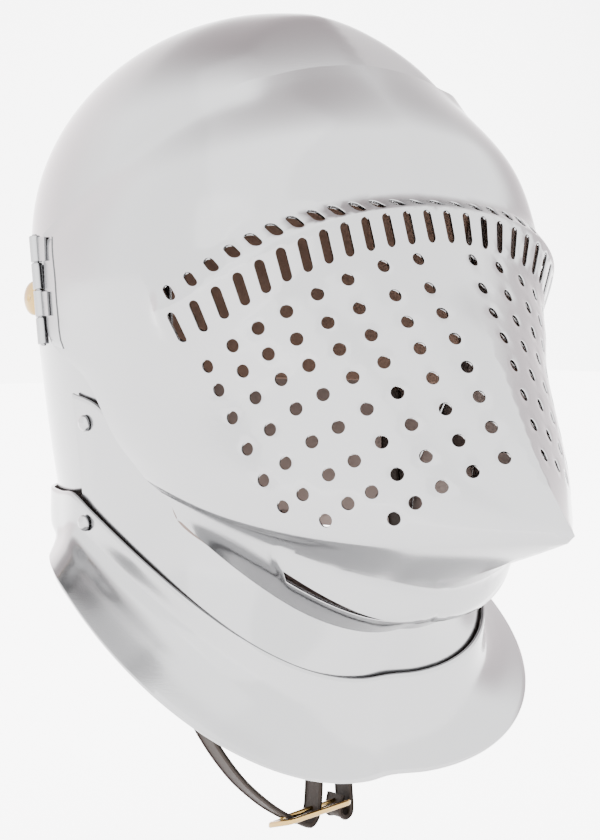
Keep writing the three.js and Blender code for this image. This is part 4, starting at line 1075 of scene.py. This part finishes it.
def bar_between(a, b, half):
    """A thin block from one edge to another, each edge two places; half is its half thickness across x."""
    shift = np.array((half, 0, 0))
    corners = np.array([a[0], a[1], b[1], b[0]])
    places = np.concatenate([corners + shift, corners - shift])
    faces = [(0, 1, 2, 3), (7, 6, 5, 4), (0, 4, 5, 1), (1, 5, 6, 2), (2, 6, 7, 3), (3, 7, 4, 0)]
    return places, face_out(places, faces)


def hinge_place(along):
    """The place on the left hinge's axis at a distance down from its middle."""
    return hinge_low + hinge_run * along


knuckle_long = (HINGE_LONG - (KNUCKLES - 1) * GAP) / KNUCKLES
arm_tall = 0.9 * HINGE_LONG
arm_end = [(PIVOT_Y + ARM_WIDTH / 2 * math.cos(a), PIVOT_DROP - ARM_WIDTH / 2 * math.sin(a))
           for a in np.linspace(math.pi / 2, -math.pi / 2, 25)]
arm_top, arm_foot = HINGE_DROP - arm_tall / 2, HINGE_DROP + arm_tall / 2
arm_line = [(ARM_START + ARM_CUT, arm_top + ARM_CUT), *arm_end, (ARM_START + ARM_CUT, arm_foot - ARM_CUT),
            (ARM_START, arm_foot), (ARM_START, arm_top)]
arm_outline = [(y, CROWN_Z - drop) for y, drop in arm_line]
LEAF_TOP_V, LEAF_FOOT_V, LEAF_ROWS, LEAF_COLUMNS = 0.5, 4.0, 15, 5
leaf_flat = np.array([[(share * SPAN, section_run(v)) for share in np.linspace(LEAF_FROM, 1, LEAF_COLUMNS)]
                      for v in np.linspace(LEAF_TOP_V, LEAF_FOOT_V, LEAF_ROWS)])
leaf_base = visor_outside(leaf_flat.reshape(-1, 2))
leaf_out = unit(leaf_base - visor_inside(leaf_flat.reshape(-1, 2)))
for hand, side in SIDES:
    flip = np.array((side, 1, 1))
    fronts, rears = [], []
    for k in range(KNUCKLES):
        start = -HINGE_LONG / 2 + k * (knuckle_long + GAP)
        half, r = knuckle_long / 2, HINGE_BARREL / 2
        bore = HINGE_PIN / 2 + GAP
        profile = [(0, -half), (bore, -half), (r - EDGE_EASE, -half), (r, -half + EDGE_EASE),
                   (r, half - EDGE_EASE), (r - EDGE_EASE, half), (bore, half), (0, half)]
        barrel = turned_form(profile, 28, hinge_place(start + half) * flip, hinge_axis * flip)
        ends = [hinge_place(start + half + end * 0.9 * half) for end in (-1, 1)]
        if k % 2 == 0:
            tips = []
            for at in ends:
                down = np.clip((CROWN_Z - at[2] - LEAF_DROP) / LEAF_TALL, 0, 1)
                level = section_run(LEAF_TOP_V + (LEAF_FOOT_V - LEAF_TOP_V) * down)
                edge = visor_outside(np.array([[0.99 * SPAN, level]]))[0]
                tips.append(np.array((edge[0] + PLATE_FIT + LEAF_PLATE / 2, edge[1], at[2])))
            fronts += [barrel, bar_between(np.array(ends) * flip, np.array(tips) * flip, WEB_PLATE / 2)]
        else:
            tips = [np.array((ARM_X + ARM_PLATE / 2, ARM_START + 1, at[2])) for at in ends]
            rears += [barrel, bar_between(np.array(ends) * flip, np.array(tips) * flip, WEB_PLATE / 2)]
    leaf_rows = [(leaf_base + leaf_out * stand).reshape(LEAF_ROWS, LEAF_COLUMNS, 3) * flip
                 for stand in (LEAF_STAND + LEAF_PLATE, LEAF_STAND)]
    leaf, leaf_faces, _ = wrapped_plate(*leaf_rows, False)
    fronts.append((leaf, face_out(leaf, leaf_faces)))
    rears.append(flat_plate(arm_outline, ARM_X, ARM_X + ARM_PLATE, EDGE_EASE, side))
    pin_half = HINGE_LONG / 2 + 1
    pin_line = [(0, -pin_half), (HINGE_PIN / 2 - 0.2, -pin_half), (HINGE_PIN / 2, -pin_half + 0.2),
                (HINGE_PIN / 2, pin_half - 0.2), (HINGE_PIN / 2 - 0.2, pin_half), (0, pin_half)]
    pin = turned_form(pin_line, 20, hinge_low * flip, hinge_axis * flip)
    for name, parts in (("hinge_front", merged(fronts)), ("hinge_rear", merged(rears)), ("hinge_pin", pin)):
        made = add_mesh(f"{name}_{hand}_form", *parts, hinge_steel, smooth_below=40)
        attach(made, "visor")
        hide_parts(f"{name}_{hand}")

# Pivot rivets: large brass rivets, one at each temple, that the visor's arms turn on. Each domed head has
# a small punch mark in its middle.
PIVOT_HEAD, PIVOT_DOME = 17.0, 3.4
brass = plain_material("warm_brass", (0.27, 0.175, 0.058, 1), 0.25, 1.0)
pivot_foot = ARM_X + ARM_PLATE + GAP
pivot_grip = pivot_foot - skull_side(PIVOT_Y, PIVOT_DROP)[0][0] + PLATE + 7 * GAP
for hand, side in SIDES:
    profile = rivet_profile(PIVOT_HEAD, PIVOT_DOME, PIVOT_SHANK, pivot_grip, dimple=1.4)
    places, faces = turned_form(profile, 48, (side * pivot_foot, PIVOT_Y, CROWN_Z - PIVOT_DROP), (side, 0, 0))
    made = add_mesh(f"pivot_rivet_{hand}_form", places, faces, brass, smooth_below=40)
    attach(made, "helmet")
    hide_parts(f"pivot_rivet_{hand}")

# Lining: soft brown leather over padding, shaped to the bowl and fixed to it all over. Only what shows
# through the slots and breaths and from below is made.
LINER_DEPTH, LINER_STEP, LINER_BACK = 185.0, 7.0, 3.0
LINER_INSET = PLATE + GAP
LEATHER_SHEEN, PEBBLE_DEPTH = 0.15, 0.25


def leather_material(name, colour, rough, grain):
    """Dull leather with a fine pebbled grain."""
    made = plain_material(name, colour, rough)
    tree = made.node_tree
    shader = tree.nodes["Principled BSDF"]
    shader.inputs["Specular IOR Level"].default_value = LEATHER_SHEEN
    place = add_node(tree, "TexCoord")
    cells = add_node(tree, "TexVoronoi", ("Scale", grain))
    bump = add_node(tree, "Bump", ("Strength", PEBBLE_DEPTH), ("Distance", GRAIN_HIGH))
    tree.links.new(place.outputs["Object"], cells.inputs["Vector"])
    tree.links.new(cells.outputs["Distance"], bump.inputs["Height"])
    tree.links.new(bump.outputs["Normal"], shader.inputs["Normal"])
    return made


lining_leather = leather_material("lining_leather_look", (0.12, 0.074, 0.055, 1), 0.75, 900)
rivet_room = INNER_HEAD * PIVOT_SHANK / 2 + 1 + GAP
liner_bore = [bore_loops(side_place(PIVOT_Y, PIVOT_DROP), rivet_room, 0.3, 20, lay_on_skull)]
places, faces, _ = half_plate(bowl_outline(LINER_DEPTH, LINER_BACK, LINER_STEP), LINER_STEP,
                              skull_places(LINER_INSET + LINER), skull_places(LINER_INSET), holes=liner_bore)
lining = add_mesh("lining_skin", places, face_out(places, faces), lining_leather)
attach(lining, "helmet")
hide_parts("lining")

# Chin strap: two branches of oak-tanned dark leather riveted inside the cheeks, cut from strip. The long
# one goes up through the buckle and its tail stands free; the short one is looped round the buckle's bar.
STRAP_WIDTH, STRAP_Y = 13.0, -14.0
BUCKLE_DROP, BUCKLE_LONG, BUCKLE_BROAD, BUCKLE_BAR, BUCKLE_MIDDLE = 401.0, 38.0, 20.0, 3.0, 8.0
strap_leather = leather_material("strap_leather_look", (0.012, 0.008, 0.006, 1), 0.7, 700)
strap_end = float(skull_point(CHEEK_RIVET[1], math.pi / 2)[0]) - PLATE - 1.5 * GAP - STRAP_WALL / 2
branch = [(strap_end - 0.1, 24, 190), (strap_end - 0.6, 23, 203), (strap_end - 5, 19, 222), (85, 12, 245),
          (82, 3, 268), (77, -6, 300), (69, STRAP_Y, 330)]
buckle_low = BUCKLE_MIDDLE - BUCKLE_LONG / 2
buckle_high = BUCKLE_MIDDLE + BUCKLE_LONG / 2
long_line = [(-x, y, CROWN_Z - drop) for x, y, drop in branch]
long_line += [(x, STRAP_Y, CROWN_Z - drop) for x, drop in (
    (-56, 354), (-39, 376), (-22, 391), (-8, BUCKLE_DROP - 1), (buckle_low + 15, BUCKLE_DROP + 4.6),
    (buckle_low + 19, BUCKLE_DROP + 2), (buckle_low + 21, BUCKLE_DROP - 5),
    (buckle_low + 22, BUCKLE_DROP - 24))]
eye_radius = 0.71 * BUCKLE_BAR + GAP + STRAP_WALL / 2
short_line = [(x, y, CROWN_Z - drop) for x, y, drop in [*branch, (48, STRAP_Y, 356), (31, STRAP_Y, 380)]]
for k in range(7):
    a = math.pi * (0.05 - k / 6)
    short_line.append((buckle_high + eye_radius * math.cos(a), STRAP_Y,
                       CROWN_Z - BUCKLE_DROP + eye_radius * math.sin(a)))
short_line.append((buckle_high + 2 - eye_radius, STRAP_Y, CROWN_Z - BUCKLE_DROP + 8))


def strap_form(line, width, wall, steps):
    """A leather band along a line, its width along y, with softly rounded edges."""
    path = respaced(np.array(line, float), steps)
    along = unit(np.gradient(path, axis=0))
    broad = np.array((0.0, 1.0, 0.0))
    lift = unit(np.cross(along, broad))
    section = []
    ease = 0.3 * wall
    for y, x in ((-1, -1), (1, -1), (1, 1), (-1, 1)):
        for first in (True, False):
            across = (y * (width / 2 - ease), x * wall / 2) if first == (y * x > 0) else (
                y * width / 2, x * (wall / 2 - ease))
            section.append(across)
    rings = np.array([[p + broad * a + u * b for a, b in section] for p, u in zip(path, lift)])
    count = len(section)
    faces = [tuple(range(count)), tuple(range((steps - 1) * count, steps * count))[::-1]]
    faces += between_rings(steps, count)
    places = rings.reshape(-1, 3)
    return places, face_out(places, faces)


for name, line in (("chin_strap_right", long_line), ("chin_strap_left", short_line)):
    made = add_mesh(f"{name}_leather", *strap_form(line, STRAP_WIDTH, STRAP_WALL, 160), strap_leather, 40)
    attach(made, "helmet")
    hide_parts(name)

# Strap buckle: a brass frame cast in one and filed smooth, which both branches of the strap go through. Its
# prong is a length of brass wire, bent round one end bar and resting on the other. It hangs a little askew.
BUCKLE_CORNER, BUCKLE_TILT_X, BUCKLE_TILT_Y, PRONG_WIRE = 2.2, 0.12, -0.28, 2.2


def framed_ring(long, broad, corner):
    """A level loop round the buckle with rounded corners."""
    places = []
    for cx, cy, start in ((1, 1, 0), (-1, 1, 90), (-1, -1, 180), (1, -1, 270)):
        for k in range(5):
            a = math.radians(start + k * 22.5)
            places.append((BUCKLE_MIDDLE + cx * (long / 2 - corner) + corner * math.cos(a),
                           STRAP_Y + cy * (broad / 2 - corner) + corner * math.sin(a)))
    return np.array(places)


half_bar = BUCKLE_BAR / 2
bar_section = ((1, -0.55), (1, 0.55), (0.55, 1), (-0.55, 1), (-1, 0.55), (-1, -0.55), (-0.55, -1), (0.55, -1))
buckle_rings = []
for sideways, up in bar_section:
    ring = framed_ring(BUCKLE_LONG + sideways * BUCKLE_BAR, BUCKLE_BROAD - BUCKLE_BAR + sideways * BUCKLE_BAR,
                       BUCKLE_CORNER + sideways * half_bar)
    buckle_rings.append(np.column_stack([ring, np.full(len(ring), CROWN_Z - BUCKLE_DROP + up * half_bar)]))
places = np.concatenate(buckle_rings)
places[:, 2] += BUCKLE_TILT_X * (places[:, 0] - BUCKLE_MIDDLE) + BUCKLE_TILT_Y * (places[:, 1] - STRAP_Y)
faces = between_rings(len(buckle_rings), len(buckle_rings[0]), closed=True)
wire = PRONG_WIRE / 2
prong_line = [(0, -wire), (wire * 0.8, -0.7 * wire), (wire, 0), (wire, 0.6 * BUCKLE_LONG),
              (0.7 * wire, BUCKLE_LONG), (0, BUCKLE_LONG + 0.6 * wire)]
prong_foot = (BUCKLE_MIDDLE + BUCKLE_LONG / 2, STRAP_Y,
              CROWN_Z - BUCKLE_DROP + BUCKLE_TILT_X * BUCKLE_LONG / 2 + half_bar + wire)
prong = turned_form(prong_line, 16, prong_foot, unit(np.array((-1, 0, -BUCKLE_TILT_X))))
places, faces = merged([(places, face_out(places, faces)), prong])
buckle = add_mesh("strap_buckle_frame", places, faces, brass, smooth_below=50)
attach(buckle, "helmet")
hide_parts("strap_buckle")
